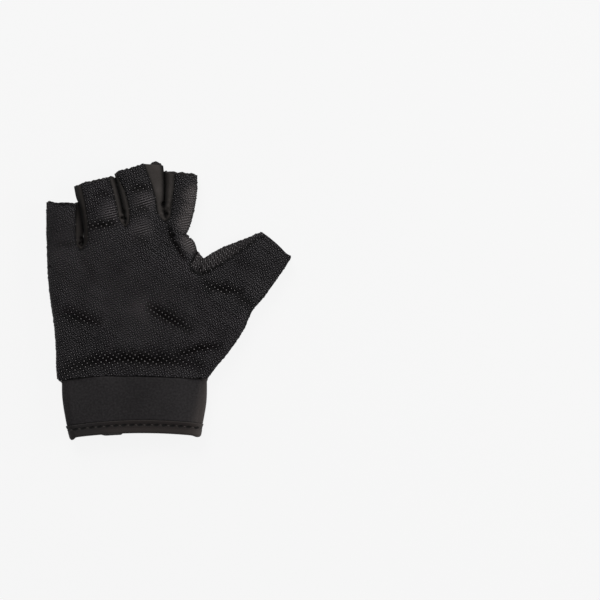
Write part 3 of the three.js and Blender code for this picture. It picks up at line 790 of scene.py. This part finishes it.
def forchette(name, palm, back, slot):
    """The stretch strip between two fingers: its two sides lean on each other, and it curls at the foot."""
    upper, lower = slot_line(palm, slot, -SEAM_GAP), slot_line(back, slot, SEAM_GAP)
    place = np.arange(len(upper)) - len(upper) // 2
    foot = fading(place, FOOT_POINTS)
    left = place < 0
    inward = into_slot(lower)
    reach = np.where(left, *LEAN_REACH) * (1 - foot) + LEAN_AT_FOOT * foot
    contact = lower + inward * reach[:, None]
    contact[:, 2] = np.where(left, *LEAN_HEIGHTS)
    crown = (upper + contact) / 2
    crown[:, 2] = upper[:, 2] - 0.1
    net = net_through([upper, crown, contact, lower], FORCHETTE_COLUMNS)
    to_contact = ((net - contact[:, None]) * inward[:, None]).sum(axis=2)
    # Painted shade, darkest where the two sides lean on each other and on the hidden columns past that
    widths = np.where(left, *STRIP_SHADE_WIDTHS[slot]) * (1 - 0.5 * foot)
    shade = fading(np.minimum(to_contact, 0), widths[:, None])
    shade[:, 2 * FORCHETTE_COLUMNS // 3 :] = 1
    lift = 0.25 * humps(net, 7, seed=4.4 + slot)
    for x, y, radius, height in STRIP_CURLS:
        bump = fading(spread(net, x, y), radius)
        lift += height * bump
        # Painted shade in a sunk curl, painted light on a raised one
        shade = np.clip(shade + (-0.5 * bump if height > 0 else 0.9 * bump), 0, 1)
    net[..., 2] += lift * np.sin(np.pi * even(FORCHETTE_COLUMNS)) ** 0.6
    return strip_shell(name, net, FORCHETTE_WALL, {"shade": shade.ravel()})


def gusset_seam(panel, rise):
    """The edge of the gusset on one side of the hand, from the crotch to the thumb's end."""
    turn = panel.crotch[: 2 * CROTCH_ROWS // CROTCH_SHARES + 1][::-1]
    line = at_shares(np.vstack([turn, panel.thumb_upper[1:]]), even(GUSSET_ROWS)) + (0, 0, rise)
    fade = 1 - passage(0, 0.08, even(GUSSET_ROWS))
    return line + np.outer(fade, GUSSET_START) * GUSSET_END_GAP


def gusset(palm, back):
    """The strip of grip knit round the crotch and along the thumb's upper edge."""
    upper, lower = gusset_seam(palm, -GUSSET_TOP_GAP), gusset_seam(back, SEAM_GAP)
    out = unit(np.cross(np.gradient(upper, axis=0), lower - upper))
    share = even(GUSSET_COLUMNS)
    middle = np.sin(np.pi * share)
    net = upper[:, None] * (1 - share[:, None]) + lower[:, None] * share[:, None]
    net += out[:, None] * (GUSSET_BELLY * middle)[:, None]
    net += out[:, None] * (0.35 * humps(net, 6, seed=2.2) * middle)[..., None]
    points = net.reshape(-1, 3)
    ridge = net[:, GUSSET_COLUMNS // 2]
    along = np.repeat(shares_along(ridge), GUSSET_COLUMNS + 1)
    across = np.tile(np.arange(GUSSET_COLUMNS + 1), GUSSET_ROWS + 1)
    x, y, radius = GUSSET_FOLD_SHADE
    # Its ribs, paler tone of painted sheen, painted highlights on the dots, and painted shade over the whole
    # gusset, deepest in the crotch fold
    marks = {
        "ribs": 0.9 - 0.6 * passage(0.3, 0.8, along),
        "pale": 0.15 - 0.1 * passage(0.3, 0.9, along),
        "rib_way": along * lengths_along(ridge)[-1] + 0.12 * across,
        "gleam": 0.8 - 0.6 * passage(0.3, 0.9, along),
        "shade": 0.33 + 0.65 * fading(spread(points, x, y), radius),
    }
    directions = np.repeat(out, GUSSET_COLUMNS + 1, 0)
    bumps = 1.4 * EDGE_BUMP * np.abs(humps(points, EDGE_BUMP_SIZE, seed=7.7))
    points = rippled(points, directions, marks) + directions * bumps[:, None]
    return strip_shell("thumb_gusset_cloth", points.reshape(net.shape), GUSSET_WALL, marks)


def stadium(left, right, underside, height, count):
    """Even points round a flattened sleeve, clockwise from its left end, and outward directions there."""
    radius = height / 2
    flat = right - left - height
    half = flat + math.pi * radius
    under, along = np.divmod(np.arange(count) / count * 2 * half, half)
    turn = np.maximum(along - flat, 0) / radius
    side = 1 - 2 * under
    out_x, out_z = side * np.sin(turn), side * np.cos(turn)
    x = left + radius + flat / 2 + side * (np.minimum(along, flat) - flat / 2) + radius * out_x
    return x, underside + radius + radius * out_z, out_x, out_z


def sleeve(name, top, bottom, proud, profile, relief, drop=None):
    """A sleeve swept round the wrist. Its profile: distance below the top line, height over the cloth."""
    rings = []
    length = sleeve_length(top, bottom)
    for depth, rise in profile:
        share = depth / length
        left = top[0][0] + (bottom[0][0] - top[0][0]) * share - proud
        right = top[1][0] + (bottom[1][0] - top[1][0]) * share + proud
        x, z, nx, nz = stadium(left, right, CUFF_UNDERSIDE - proud, CUFF_HEIGHT + 2 * proud, SLEEVE_STATIONS)
        start, stop = wrist_line(top, x), wrist_line(bottom, x)
        y = start + (stop - start) * share
        if drop is not None:
            y = y - drop(x, z) * share**3
        place = np.column_stack([x, y, z])
        lift = rise + relief(place, share)
        rings.append(place + np.column_stack([nx * lift, np.zeros(len(x)), nz * lift]))
    index = numbered(len(rings), SLEEVE_STATIONS)
    faces = grid_quads(np.pad(index, (0, 1), "wrap"))[:, ::-1]
    around = even(SLEEVE_STATIONS) * (2 * (top[1][0] - top[0][0]))
    along = lengths_along(np.vstack([profile, profile[:1]]))
    flat = np.stack(np.meshgrid(around, along), -1).reshape(-1, 2)
    corners = grid_quads(numbered(len(along), len(around)))[:, ::-1]
    return new_mesh(name, np.vstack(rings), faces, flat[corners.ravel()])


def rounded_profile(start, stop, wall, hem_round):
    """Closed profile of a strip of cloth: outer face, rounded lower edge, inner face, rounded upper edge."""
    upper, lower = start + SLEEVE_EDGE_ROUND, stop - hem_round
    corners = []
    for quarter, (place, radius) in enumerate([(lower, hem_round)] * 2 + [(upper, SLEEVE_EDGE_ROUND)] * 2):
        centre = (place, radius - wall if quarter in (1, 2) else -radius)
        turn = (even(ROUND_STEPS)[1:] + quarter) * math.pi / 2
        corners.append(centre + radius * np.column_stack([np.sin(turn), np.cos(turn)]))
    outer = [(depth, 0) for depth in np.linspace(upper, lower, OUTER_POINTS)]
    inner = [(depth, -wall) for depth in np.linspace(lower, upper, INNER_POINTS)[1:]]
    return np.vstack([outer, *corners[:2], inner, *corners[2:]])[:-1]


def band_relief(place, share):
    """The band bows out at both sides and waves a little."""
    across = place[:, 0]
    from_middle = across - BAND_MIDDLE
    bowed = np.abs(from_middle / BAND_HALF) ** 6 * math.sin(math.pi * min(max(share, 0), 1))
    above = passage(CUFF_UNDERSIDE + CUFF_HEIGHT / 2, CUFF_UNDERSIDE + CUFF_HEIGHT, place[:, 2])
    fall = sum(
        amount * passage(start, stop, side * from_middle)
        for side, (start, stop, amount) in zip((-1, 1), BAND_FALLS)
    )
    ends = passage(20, 24, across) + passage(-64.5, -68.5, across)
    depth = share * sleeve_length(CUFF_TOP, BINDING_TOP)
    corner = BAND_CORNER * ends * fading(depth, BAND_CORNER_LENGTH)
    stronger = 0.8 + 0.2 * passage(10, -50, across)
    return stronger * bowed + 0.3 * humps(place, 21, seed=6.1) - fall * above + corner


def cuff_band():
    """The smooth wrist band, its upper end tucked under the hand's cloth."""
    stop = sleeve_length(CUFF_TOP, BINDING_TOP) + WRIST_GAP - 0.05
    profile = rounded_profile(-BAND_TUCKED, stop, CUFF_WALL, BAND_HEM_ROUND)
    profile[:, 1] -= BAND_TUCK_DEPTH * (1 - passage(-1.2, 1.3, profile[:, 0]))
    return sleeve("cuff_band_cloth", CUFF_TOP, BINDING_TOP, 0, profile, band_relief)


def binding_relief(place, share):
    """The tape waves a little and sinks along its stitches."""
    return 0.3 * humps(place, 15, seed=2.9) - STITCH_SINK * fading(share - STITCH_SHARE, STITCH_SINK_WIDTH)


def hem_drop(x, z):
    """The hem hangs lower at both ends, and at the back over part of its width."""
    at_back = passage(CUFF_UNDERSIDE + 0.6 * CUFF_HEIGHT, CUFF_UNDERSIDE + 0.3 * CUFF_HEIGHT, z)
    ends = sum(drop * fading(x - place, radius) for place, radius, drop in HEM_ENDS)
    return HEM_BACK_DROP * at_back * passage(-47, -40, x) * passage(-29.5, -31.5, x) + ends


def cuff_binding():
    """The folded tape round the wrist's opening, and a point for each of its stitches."""
    left, right, rise, lean = BINDING_TOP
    top = ((left[0], left[1] - WRIST_GAP), (right[0], right[1] - WRIST_GAP), rise, lean)
    profile = rounded_profile(0, sleeve_length(top, HEM), BINDING_WALL, BINDING_HEM_ROUND)
    tape = sleeve("cuff_binding_tape", top, HEM, BINDING_PROUD, profile, binding_relief, hem_drop)
    return tape, stitch_places(tape, profile)


def stitch_places(tape, profile):
    """A mesh of one point in the middle between two pulled places of the tape, with its directions."""
    depths = profile[:OUTER_POINTS, 0] - profile[0, 0]
    row = int(np.argmin(np.abs(depths - STITCH_DEPTH)))
    ring = tape.data.vertices[row * SLEEVE_STATIONS : (row + 1) * SLEEVE_STATIONS]
    station = (np.arange(STITCHES) + 0.5) / STITCHES * SLEEVE_STATIONS
    places = np.array([vertex.co for vertex in ring])
    upright = np.array([vertex.normal for vertex in ring])
    along = np.roll(places, -1, 0) - places
    found = []
    for values in (places, upright, along):
        closed = np.vstack([values, values[:1]])
        columns = [np.interp(station, np.arange(len(closed)), closed[:, axis]) for axis in range(3)]
        found.append(np.column_stack(columns))
    mesh = bpy.data.meshes.new("stitch_places")
    mesh.from_pydata(found[0].tolist(), [], [])
    for mark, values in zip(("outward", "along"), found[1:]):
        mesh.attributes.new(mark, "FLOAT_VECTOR", "POINT").data.foreach_set("vector", values.ravel())
    return mesh


def closing_tab():
    """A flat strip with one square end and one round end, its edges rounded."""
    low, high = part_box("closure_tab")
    radius = (high.y - low.y) / 2
    centre_y = (high.y + low.y) / 2
    outline = [(low.x, high.y), (low.x, low.y)]
    for turn in np.linspace(-math.pi / 2, math.pi / 2, 25):
        outline.append((high.x - radius + radius * math.cos(turn), centre_y + radius * math.sin(turn)))
    shape = bmesh.new()
    face = shape.faces.new([shape.verts.new((x, y, low.z)) for x, y in outline])
    raised = bmesh.ops.extrude_face_region(shape, geom=[face])
    for item in raised["geom"]:
        if isinstance(item, bmesh.types.BMVert):
            item.co.z = high.z
    bmesh.ops.recalc_face_normals(shape, faces=shape.faces)
    edges = [edge for edge in shape.edges if abs(edge.verts[0].co.z - edge.verts[1].co.z) < 1e-6]
    bmesh.ops.bevel(shape, geom=edges, offset=TAB_EDGE_ROUND, segments=3, profile=0.5, affect="EDGES")
    mesh = bpy.data.meshes.new("closing_tab")
    shape.to_mesh(mesh)
    shape.free()
    layer = mesh.uv_layers.new(name="flat")
    for loop in mesh.loops:
        x, y, _ = mesh.vertices[loop.vertex_index].co
        layer.data[loop.index].uv = (x / MM / FLAT_SCALE, y / MM / FLAT_SCALE)
    return put("closing_tab", mesh)


class Wire:
    """A value in a node tree; arithmetic on it adds the Math nodes."""

    def __init__(self, tree, socket):
        self.tree, self.socket = tree, socket

    def math(self, operation, *others):
        inputs = dict(enumerate([self, *others]))
        return self.tree.add("ShaderNodeMath", {"operation": operation}, inputs)

    def __add__(self, other):
        return self.math("ADD", other)

    def __sub__(self, other):
        return self.math("SUBTRACT", other)

    def __mul__(self, other):
        return self.math("MULTIPLY", other)

    def __truediv__(self, other):
        return self.math("DIVIDE", other)

    def __rsub__(self, other):
        return self.tree.add("ShaderNodeMath", {"operation": "SUBTRACT"}, {0: other, 1: self})

    def wave(self, pitch):
        """1 and -1 by turns, once for each `pitch` of the value."""
        return (self * (2 * math.pi / pitch)).math("COSINE")

    def ramp(self, start, stop, low=0.0, high=1.0):
        """Passes smoothly from `low` to `high` as the value goes from `start` to `stop`."""
        inputs = {"Value": self, "From Min": start, "From Max": stop, "To Min": low, "To Max": high}
        return self.tree.add("ShaderNodeMapRange", {"interpolation_type": "SMOOTHSTEP"}, inputs)


class Tree:
    """Adds nodes to a node tree."""

    def __init__(self, tree):
        self.tree = tree

    def add(self, kind, settings=None, inputs=None, output=0):
        """One node: its type, its settings, then the value or wire of each socket. Gives one output."""
        node = self.tree.nodes.new(kind)
        for key, value in (settings or {}).items():
            setattr(node, key, value)
        for key, value in (inputs or {}).items():
            socket = node.inputs[key]
            if isinstance(value, Wire):
                self.tree.links.new(value.socket, socket)
            else:
                socket.default_value = value
        return Wire(self, node.outputs[output]) if node.outputs else node

    def outputs(self, wire):
        """All the outputs of the node that a wire comes from, by name."""
        return {socket.name: Wire(self, socket) for socket in wire.socket.node.outputs}

    def parts(self, vector):
        """The X, Y and Z of a vector, by name."""
        return self.outputs(self.add("ShaderNodeSeparateXYZ", None, {0: vector}))


def tone(*screen):
    """A colour from its red, green and blue on a screen, 0 to 255."""
    shares = [value / 255 for value in screen]
    return (*[((c + 0.055) / 1.055) ** 2.4 if c > 0.04 else c / 12.92 for c in shares], 1.0)


class Finish(Tree):
    """A material for one of the glove's cloths."""

    def __init__(self, name):
        self.material = bpy.data.materials.new(name)
        self.material.use_nodes = True
        super().__init__(self.material.node_tree)
        self.tree.nodes.clear()

    def flat_place(self):
        """The UV vector, and the place on the flat cut in millimetres, across and along."""
        uv = self.add("ShaderNodeUVMap", {"uv_map": "flat"})
        parts = self.parts(uv)
        return uv, parts["X"] * FLAT_SCALE, parts["Y"] * FLAT_SCALE

    def mark(self, name):
        """The number that a point of the mesh carries under that name."""
        return self.outputs(self.add("ShaderNodeAttribute", {"attribute_name": name}))["Fac"]

    def place(self):
        """Place in the scene, in metres."""
        return self.add("ShaderNodeTexCoord", None, None, "Object")

    def painted_side_sheen(self, colour, strength):
        """The same colour with painted sheen: paler towards the thumb's side of the wrist, where side light
        grazes the rounded cloth, and towards its lower end.
        """
        parts = self.parts(self.place())
        share = (parts["X"] - parts["Y"] * 0.3).ramp(0.034, 0.047) * strength
        return self.blend(share, colour, (76, 70, 67))

    def speckle(self, where, scale, detail=2.0):
        """Random values about 0.5 over the surface."""
        inputs = {"Vector": where, "Scale": scale, "Detail": detail}
        return self.add("ShaderNodeTexNoise", None, inputs, "Fac")

    def blend(self, share, *colours):
        """A colour between two, each of them a wire or its values on a screen."""
        first, second = (tone(*c) if isinstance(c, tuple) else c for c in colours)
        return self.add("ShaderNodeMix", {"data_type": "RGBA"}, {0: share, 6: first, 7: second}, 2)

    def covered(self, colour, *layers):
        """A colour with others over it, each with the share that it covers."""
        for share, values in layers:
            colour = self.blend(share, colour, values)
        return colour

    def cloth(self, colour, roughness, height, specular=0.12, sheen=0.0, sheen_roughness=0.5):
        """The finished surface: its colour, roughness and relief in millimetres."""
        bump = self.add("ShaderNodeBump", None, {"Height": height, "Distance": MM, "Strength": 1.0})
        surface = self.add(
            "ShaderNodeBsdfPrincipled",
            None,
            {
                "Base Color": colour,
                "Roughness": roughness,
                "Normal": bump,
                "Specular IOR Level": specular,
                "Sheen Weight": sheen,
                "Sheen Roughness": sheen_roughness,
            },
        )
        self.add("ShaderNodeOutputMaterial", None, {"Surface": surface})
        return self.material


def grip_knit():
    """Dark knit: a pit round each dot, fine net lines, and cross ribs where it is pushed together; with
    painted sheen, painted light and shade on the ribs, and painted shade in the folds and along the seams.
    """
    finish = Finish("grip_knit")
    uv, across, along = finish.flat_place()
    (a, b), (c, d) = DOT_STEP, DOT_ROW_STEP
    area = a * d - b * c
    first = (across * d - along * c) / area
    second = (along * a - across * b) / area
    first_off = first - first.math("ROUND")
    second_off = second - second.math("ROUND")
    off_x = first_off * a + second_off * c
    off_y = first_off * b + second_off * d
    radius = (off_x * off_x + off_y * off_y).math("SQRT")
    pit = radius.ramp(PIT_RADIUS, 0.7 * PIT_RADIUS) * (1 - finish.mark("inside"))
    knots = ((across - along).wave(NET_PITCH) + (across + along).wave(NET_PITCH)) * 0.25 + 0.5
    ribs = finish.mark("ribs")
    wave = finish.mark("rib_way").wave(RIB_PITCH) * ribs
    thread = finish.speckle(uv, 260, 3)
    wear = finish.speckle(finish.place(), 60)
    uneven = (thread * 0.5 + wear * 0.5).ramp(0.3, 0.7)
    raised = finish.blend(uneven, (54, 52, 54), (74, 72, 74))
    sunk = finish.blend(uneven, (18, 17, 18), (26, 25, 26))
    flat = 1 - ribs * 0.8
    cloth = finish.covered(
        finish.blend((knots * flat + ribs * 0.3).ramp(0.1, 0.9), raised, sunk),
        # Painted sheen on the pushed cloth
        (finish.mark("pale") * 0.8, (104, 98, 96)),
        # Painted light on the ribs' crests, and painted shade between them
        ((wave * 0.5 + 0.5) * ribs * 0.6, (108, 103, 104)),
        ((wave * -0.5 + 0.5) * ribs, (5, 4, 5)),
        (pit * flat * 0.95, (9, 9, 10)),
        # Painted shade in the folds and along the seams
        (finish.mark("shade") * 0.95, (6, 5, 5)),
        (finish.mark("seam") * 0.8, (6, 6, 6)),
    )
    height = knots * -0.06 - pit * 0.16 + wave * 0.2 + thread * 0.06
    return finish.cloth(cloth, 0.85, height, 0.03, 0.02)


def dot_rubber():
    """The small grip dots: smooth grey-black rubber with a soft gloss, and a painted highlight where they
    gleam.
    """
    finish = Finish("dot_rubber")
    worn = finish.speckle(finish.place(), 900)
    colour = finish.blend(worn.ramp(0.35, 0.65), (76, 73, 74), (102, 98, 99))
    # Painted highlight: the dots are paler in the folds and on the pushed cloth
    colour = finish.blend(finish.mark("gleam"), colour, (129, 125, 125))
    return finish.cloth(colour, worn * 0.3 + 0.25, worn * 0.02, 0.4)


def back_knit():
    """Plain stretch knit with fine wales up the hand."""
    finish = Finish("back_knit")
    uv, across, along = finish.flat_place()
    wale, course = across.wave(WALE_PITCH), along.wave(COURSE_PITCH)
    grain = finish.speckle(uv, 220, 3)
    soft = finish.speckle(finish.place(), 45)
    shade = grain * 0.4 + soft * 0.4 + (wale * course) * 0.1 + 0.1
    colour = finish.blend(shade.ramp(0.3, 0.72), (30, 28, 28), (47, 44, 43))
    return finish.cloth(colour, 0.8, wale * 0.03 + course * 0.02 + grain * 0.05, 0.12, 0.06)


def stretch_strip():
    """Thin smooth stretch cloth, brownish black, with a faint grain, darkened by painted shade deep in its
    slot and along its seams.
    """
    finish = Finish("stretch_strip")
    uv, _, along = finish.flat_place()
    grain = finish.speckle(uv, 300, 3)
    soft = finish.speckle(finish.place(), 90)
    colour = finish.covered(
        finish.blend((grain * 0.5 + soft * 0.5).ramp(0.3, 0.7), (49, 46, 44), (67, 63, 61)),
        # Painted shade deep in the slot and in the sunk curls, and along the seams
        (finish.mark("shade") * 0.93, (5, 4, 4)),
        (finish.mark("seam") * 0.7, (8, 7, 7)),
    )
    height = grain * 0.03 + along.wave(STRIP_RIB_PITCH) * 0.01
    return finish.cloth(colour, grain * 0.2 + 0.6, height, 0.05, 0.03)


def cuff_cloth():
    """Thick smooth wrist cloth with a fine nap."""
    finish = Finish("cuff_cloth")
    uv, _, _ = finish.flat_place()
    nap = finish.speckle(uv, 420, 4)
    soft = finish.speckle(finish.place(), 30)
    flecks = finish.speckle(uv, 75, 3)
    shade = (nap * 0.4 + soft * 0.2 + flecks * 0.4).ramp(0.38, 0.62)
    # Painted sheen towards the thumb's side of the wrist
    colour = finish.painted_side_sheen(finish.blend(shade, (29, 27, 28), (45, 43, 44)), 0.6)
    return finish.cloth(colour, nap * 0.15 + 0.75, nap * 0.07, 0.12, 0.12, 0.4)


def binding_tape():
    """Folded stretch tape, a little browner than the cuff, with fine lengthwise ribs."""
    finish = Finish("binding_tape")
    uv, across, along = finish.flat_place()
    grain = finish.speckle(uv, 320, 3)
    colour = finish.blend(grain.ramp(0.3, 0.7), (28, 24, 23), (40, 35, 34))
    colour = finish.blend(along.ramp(3.6, 5.2) * 0.5, colour, (56, 51, 49))
    # Painted sheen towards the thumb's side of the wrist
    colour = finish.painted_side_sheen(colour, 0.4)
    little_side = finish.parts(finish.place())["X"].ramp(-0.03, -0.055)
    place = across * (1 / STITCH_PITCH)
    beside = (place - place.math("ROUND")) * STITCH_PITCH
    below = along - STITCH_DEPTH
    slanted = (beside + below * 0.5) * (1 / STITCH_PULL)
    pulled = (slanted * slanted + below * below * 1.1).math("SQRT").ramp(1.15, 0.75)
    # Darker towards the little finger's side; painted shade in the hollows where the stitches pull the tape
    # in
    colour = finish.covered(colour, (little_side * 0.6, (30, 29, 30)), (pulled * 0.85, (7, 6, 6)))
    height = grain * 0.05 + along.wave(TAPE_RIB_PITCH) * 0.02 - pulled * 0.25
    return finish.cloth(colour, grain * 0.2 + 0.65, height, 0.12, 0.06)


def stitch_thread():
    """Dark sewing thread, twisted."""
    finish = Finish("stitch_thread")
    twist = finish.speckle(finish.place(), 1500)
    colour = finish.blend(twist.ramp(0.3, 0.7), (34, 31, 30), (64, 59, 57))
    return finish.cloth(colour, 0.6, twist * 0.03, 0.2)


class Kit(Tree):
    """A Geometry Nodes tree with named inputs, run once on a mesh."""

    def __init__(self, name, inputs):
        group = bpy.data.node_groups.new(name, "GeometryNodeTree")
        super().__init__(group)
        group.interface.new_socket("Geometry", in_out="INPUT", socket_type="NodeSocketGeometry")
        for key, kind in inputs.items():
            group.interface.new_socket(key, in_out="INPUT", socket_type=f"NodeSocket{kind}")
        group.interface.new_socket("Geometry", in_out="OUTPUT", socket_type="NodeSocketGeometry")
        start = group.nodes.new("NodeGroupInput")
        self.inputs = {socket.name: Wire(self, socket) for socket in start.outputs if socket.name}

    def carried(self, name, kind="FLOAT_VECTOR"):
        """The value that points carry under that name."""
        return self.add("GeometryNodeInputNamedAttribute", {"data_type": kind}, {"Name": name})

    def keep(self, geometry, name, value, kind="FLOAT_VECTOR"):
        """The same points, each carrying a value under that name."""
        settings = {"data_type": kind, "domain": "POINT"}
        inputs = {"Geometry": geometry, "Name": name, "Value": value}
        return self.add("GeometryNodeStoreNamedAttribute", settings, inputs)

    def vector_math(self, operation, inputs):
        """One step of arithmetic on vectors."""
        return self.add("ShaderNodeVectorMath", {"operation": operation}, inputs)

    def upright(self):
        """The turn that stands something on the cloth."""
        inputs = {"Vector": self.carried("outward")}
        return self.add("FunctionNodeAlignRotationToVector", {"axis": "Z"}, inputs)

    def bead(self, segments, rings, *sizes):
        """A smooth ball with those three sizes in millimetres."""
        inputs = {"Segments": segments, "Rings": rings, "Radius": 0.5}
        ball = self.add("GeometryNodeMeshUVSphere", None, inputs)
        scale = self.add("ShaderNodeCombineXYZ", None, dict(enumerate(size * MM for size in sizes)))
        shaped = self.add("GeometryNodeTransform", None, {"Geometry": ball, "Scale": scale})
        return self.add("GeometryNodeSetShadeSmooth", None, {"Geometry": shaped})

    def on_points(self, **inputs):
        """One instance on each point."""
        inputs = {key.title(): value for key, value in inputs.items()}
        return self.add("GeometryNodeInstanceOnPoints", None, inputs)

    def finish(self, geometry, material):
        """The tree's last nodes: real geometry with its material."""
        real = self.add("GeometryNodeRealizeInstances", None, {0: geometry})
        dressed = self.add("GeometryNodeSetMaterial", None, {"Geometry": real, "Material": material})
        end = self.tree.nodes.new("NodeGroupOutput")
        self.tree.links.new(dressed.socket, end.inputs[0])

    def run(self, name, carrier_mesh, values):
        """Runs the tree on a copy of a mesh, and keeps the result as a plain mesh."""
        carrier = put(f"{name}_carrier", carrier_mesh)
        modifier = carrier.modifiers.new(name, "NODES")
        modifier.node_group = self.tree
        for item in self.tree.interface.items_tree:
            if item.in_out == "INPUT" and item.name in values:
                modifier[item.identifier] = values[item.name]
        evaluated = carrier.evaluated_get(bpy.context.evaluated_depsgraph_get())
        mesh = bpy.data.meshes.new_from_object(evaluated)
        mesh.name = name
        piece = put(name, mesh)
        bpy.data.objects.remove(carrier)
        return piece


def dot_kit():
    """Dots on a lattice of the flat cloth, each carried to its place on the worn cloth."""
    kit = Kit(
        "grip_dots",
        {
            "Lattice Reach": "Int", "Step": "Vector", "Row Step": "Vector", "Dot Width": "Float",
            "Dot Height": "Float", "Seed": "Int", "Material": "Material",
        },
    )
    values = kit.inputs
    reach = values["Lattice Reach"]
    size = {"Size X": reach, "Size Y": reach, "Vertices X": reach + 1, "Vertices Y": reach + 1}
    lattice = kit.add("GeometryNodeMeshGrid", None, size)
    place = kit.add("GeometryNodeInputPosition")
    parts = kit.parts(place)
    first = kit.vector_math("SCALE", {0: values["Step"], "Scale": parts["X"]})
    second = kit.vector_math("SCALE", {0: values["Row Step"], "Scale": parts["Y"]})
    on_cut = kit.vector_math("ADD", {0: first, 1: second})
    on_map = kit.vector_math("SCALE", {0: on_cut, "Scale": 1 / FLAT_SCALE})
    uv = kit.carried("flat")

    def on_cloth(value, kind="FLOAT_VECTOR"):
        inputs = {"Mesh": values["Geometry"], "Value": value, "UV Map": uv, "Sample UV": on_map}
        return kit.add("GeometryNodeSampleUVSurface", {"data_type": kind}, inputs)

    worn_place = on_cloth(place)
    kept = kit.keep(lattice, "outward", on_cloth(kit.add("GeometryNodeInputNormal")))
    kept = kit.keep(kept, "on_cloth", kit.outputs(worn_place)["Is Valid"], "BOOLEAN")
    # The painted highlight of the dots, taken from the cloth under them
    kept = kit.keep(kept, "gleam", on_cloth(kit.carried("gleam", "FLOAT"), "FLOAT"), "FLOAT")
    placed = kit.add("GeometryNodeSetPosition", None, {"Geometry": kept, "Position": worn_place})
    dot = kit.bead(7, 4, values["Dot Width"], values["Dot Width"], values["Dot Height"] * 2)
    varied = kit.add(
        "FunctionNodeRandomValue", {"data_type": "FLOAT"}, {2: 0.9, 3: 1.1, "Seed": values["Seed"]}, 1
    )
    on_it = kit.carried("on_cloth", "BOOLEAN")
    dots = kit.on_points(points=placed, selection=on_it, instance=dot, rotation=kit.upright(), scale=varied)
    kit.finish(dots, values["Material"])
    return kit


def stitch_kit():
    """Stitches of thread, one on each point, along the tape and proud of it."""
    sizes = ("Length", "Width", "Height")
    kit = Kit("thread_stitches", {**dict.fromkeys(sizes, "Float"), "Material": "Material"})
    values = kit.inputs
    turned = kit.add(
        "FunctionNodeAlignRotationToVector",
        {"axis": "X", "pivot_axis": "Z"},
        {"Rotation": kit.upright(), "Vector": kit.carried("along")},
    )
    bead = kit.bead(8, 5, *[values[size] for size in sizes])
    threads = kit.on_points(points=values["Geometry"], instance=bead, rotation=turned)
    kit.finish(threads, values["Material"])
    return kit


def ride(piece, material=None, node=None):
    """Gives a piece its finish and says what it is a part of."""
    if material is not None:
        piece.data.materials.clear()
        piece.data.materials.append(material)
    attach(piece, "root")
    if node is not None:
        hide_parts(node)


def pale_floor():
    """The white surface that the glove lies on."""
    mesh = bpy.data.meshes.new("floor")
    signs = ((-1, -1), (1, -1), (1, 1), (-1, 1))
    mesh.from_pydata([(x * FLOOR_HALF, y * FLOOR_HALF, FLOOR_LEVEL) for x, y in signs], [], [(0, 1, 2, 3)])
    finish = Finish("pale_floor")
    surface = finish.add(
        "ShaderNodeBsdfPrincipled",
        None,
        {
            "Base Color": (0.05, 0.05, 0.05, 1), "Roughness": 0.9, "Specular IOR Level": 0.0,
            "Emission Color": (1, 1, 1, 1), "Emission Strength": FLOOR_GLOW,
        },
    )
    finish.add("ShaderNodeOutputMaterial", None, {"Surface": surface})
    mesh.materials.append(finish.material)
    return put("floor", mesh)


def soft_box(name, place, size, power):
    """A square lamp that points at the glove."""
    light = bpy.data.lights.new(name, "AREA")
    light.size = size
    light.energy = power
    lamp = put(name, light)
    lamp.location = place
    lamp.rotation_euler = (-Vector(place)).to_track_quat("-Z", "Y").to_euler()


def studio(scene):
    """White surroundings with two lamps, seen by a camera straight above."""
    scene.view_settings.view_transform = "Standard"
    scene.world = bpy.data.worlds.new("studio")
    scene.world.use_nodes = True
    sky = scene.world.node_tree.nodes["Background"]
    sky.inputs["Color"].default_value = (1, 1, 1, 1)
    sky.inputs["Strength"].default_value = SKY_STRENGTH
    for name, (place, size, power) in LAMPS.items():
        soft_box(name, place, size, power)
    view = bpy.data.cameras.new("camera")
    view.lens = LENS
    view.sensor_width = SENSOR
    scene.camera = put("camera", view)
    scene.camera.location = (*PHOTO_CENTRE, PHOTO_WIDTH * LENS / SENSOR + PHOTO_HEIGHT)


# The cloths, each under the name of the node that it stands for
palm, back = palm_side(), back_side()
strips = ("forchette_little_ring", "forchette_ring_middle", "forchette_middle_index")
cloths = {"palm_panel": palm_panel(palm), "back_panel": back_panel(back)}
for place, node in enumerate(strips):
    cloths[node] = forchette(f"{node}_cloth", palm, back, place)
cloths["thumb_gusset"] = gusset(palm, back)
cloths["cuff_band"] = cuff_band()
cloths["cuff_binding"], stitched = cuff_binding()

grip, cuff_finish = grip_knit(), cuff_cloth()
finishes = {
    "palm_panel": ("grip_knit", grip), "back_panel": ("back_knit", back_knit()),
    **dict.fromkeys(strips, ("stretch_strip", stretch_strip())),
    "thumb_gusset": ("grip_knit", grip), "cuff_band": ("cuff_cloth", cuff_finish),
    "cuff_binding": ("binding_tape", binding_tape()),
}
for node, (slot, finish) in finishes.items():
    ride(cloths[node], finish, node)

# What lies on them: the dots on the grip knit and the stitches on the tape
dots = dot_kit()
lattice = {
    "Lattice Reach": LATTICE_REACH, "Step": (*DOT_STEP, 0), "Row Step": (*DOT_ROW_STEP, 0),
    "Dot Width": DOT_WIDTH, "Dot Height": DOT_HEIGHT, "Seed": DOT_SEED, "Material": dot_rubber(),
}
for node in ("palm_panel", "thumb_gusset"):
    dotted = dots.run(f"{cloths[node].name}_dots", cloths[node].data.copy(), lattice)
    ride(dotted)
threads = stitch_kit().run("binding_stitches", stitched, {**STITCH_SIZE, "Material": stitch_thread()})
ride(threads)

cloths["closure_tab"] = closing_tab()
ride(cloths["closure_tab"], cuff_finish, "closure_tab")
for node, (width, length, area) in SHEETS.items():
    held = "laid" if node == "closure_tab" else "stretched"

pale_floor()
studio(bpy.context.scene)
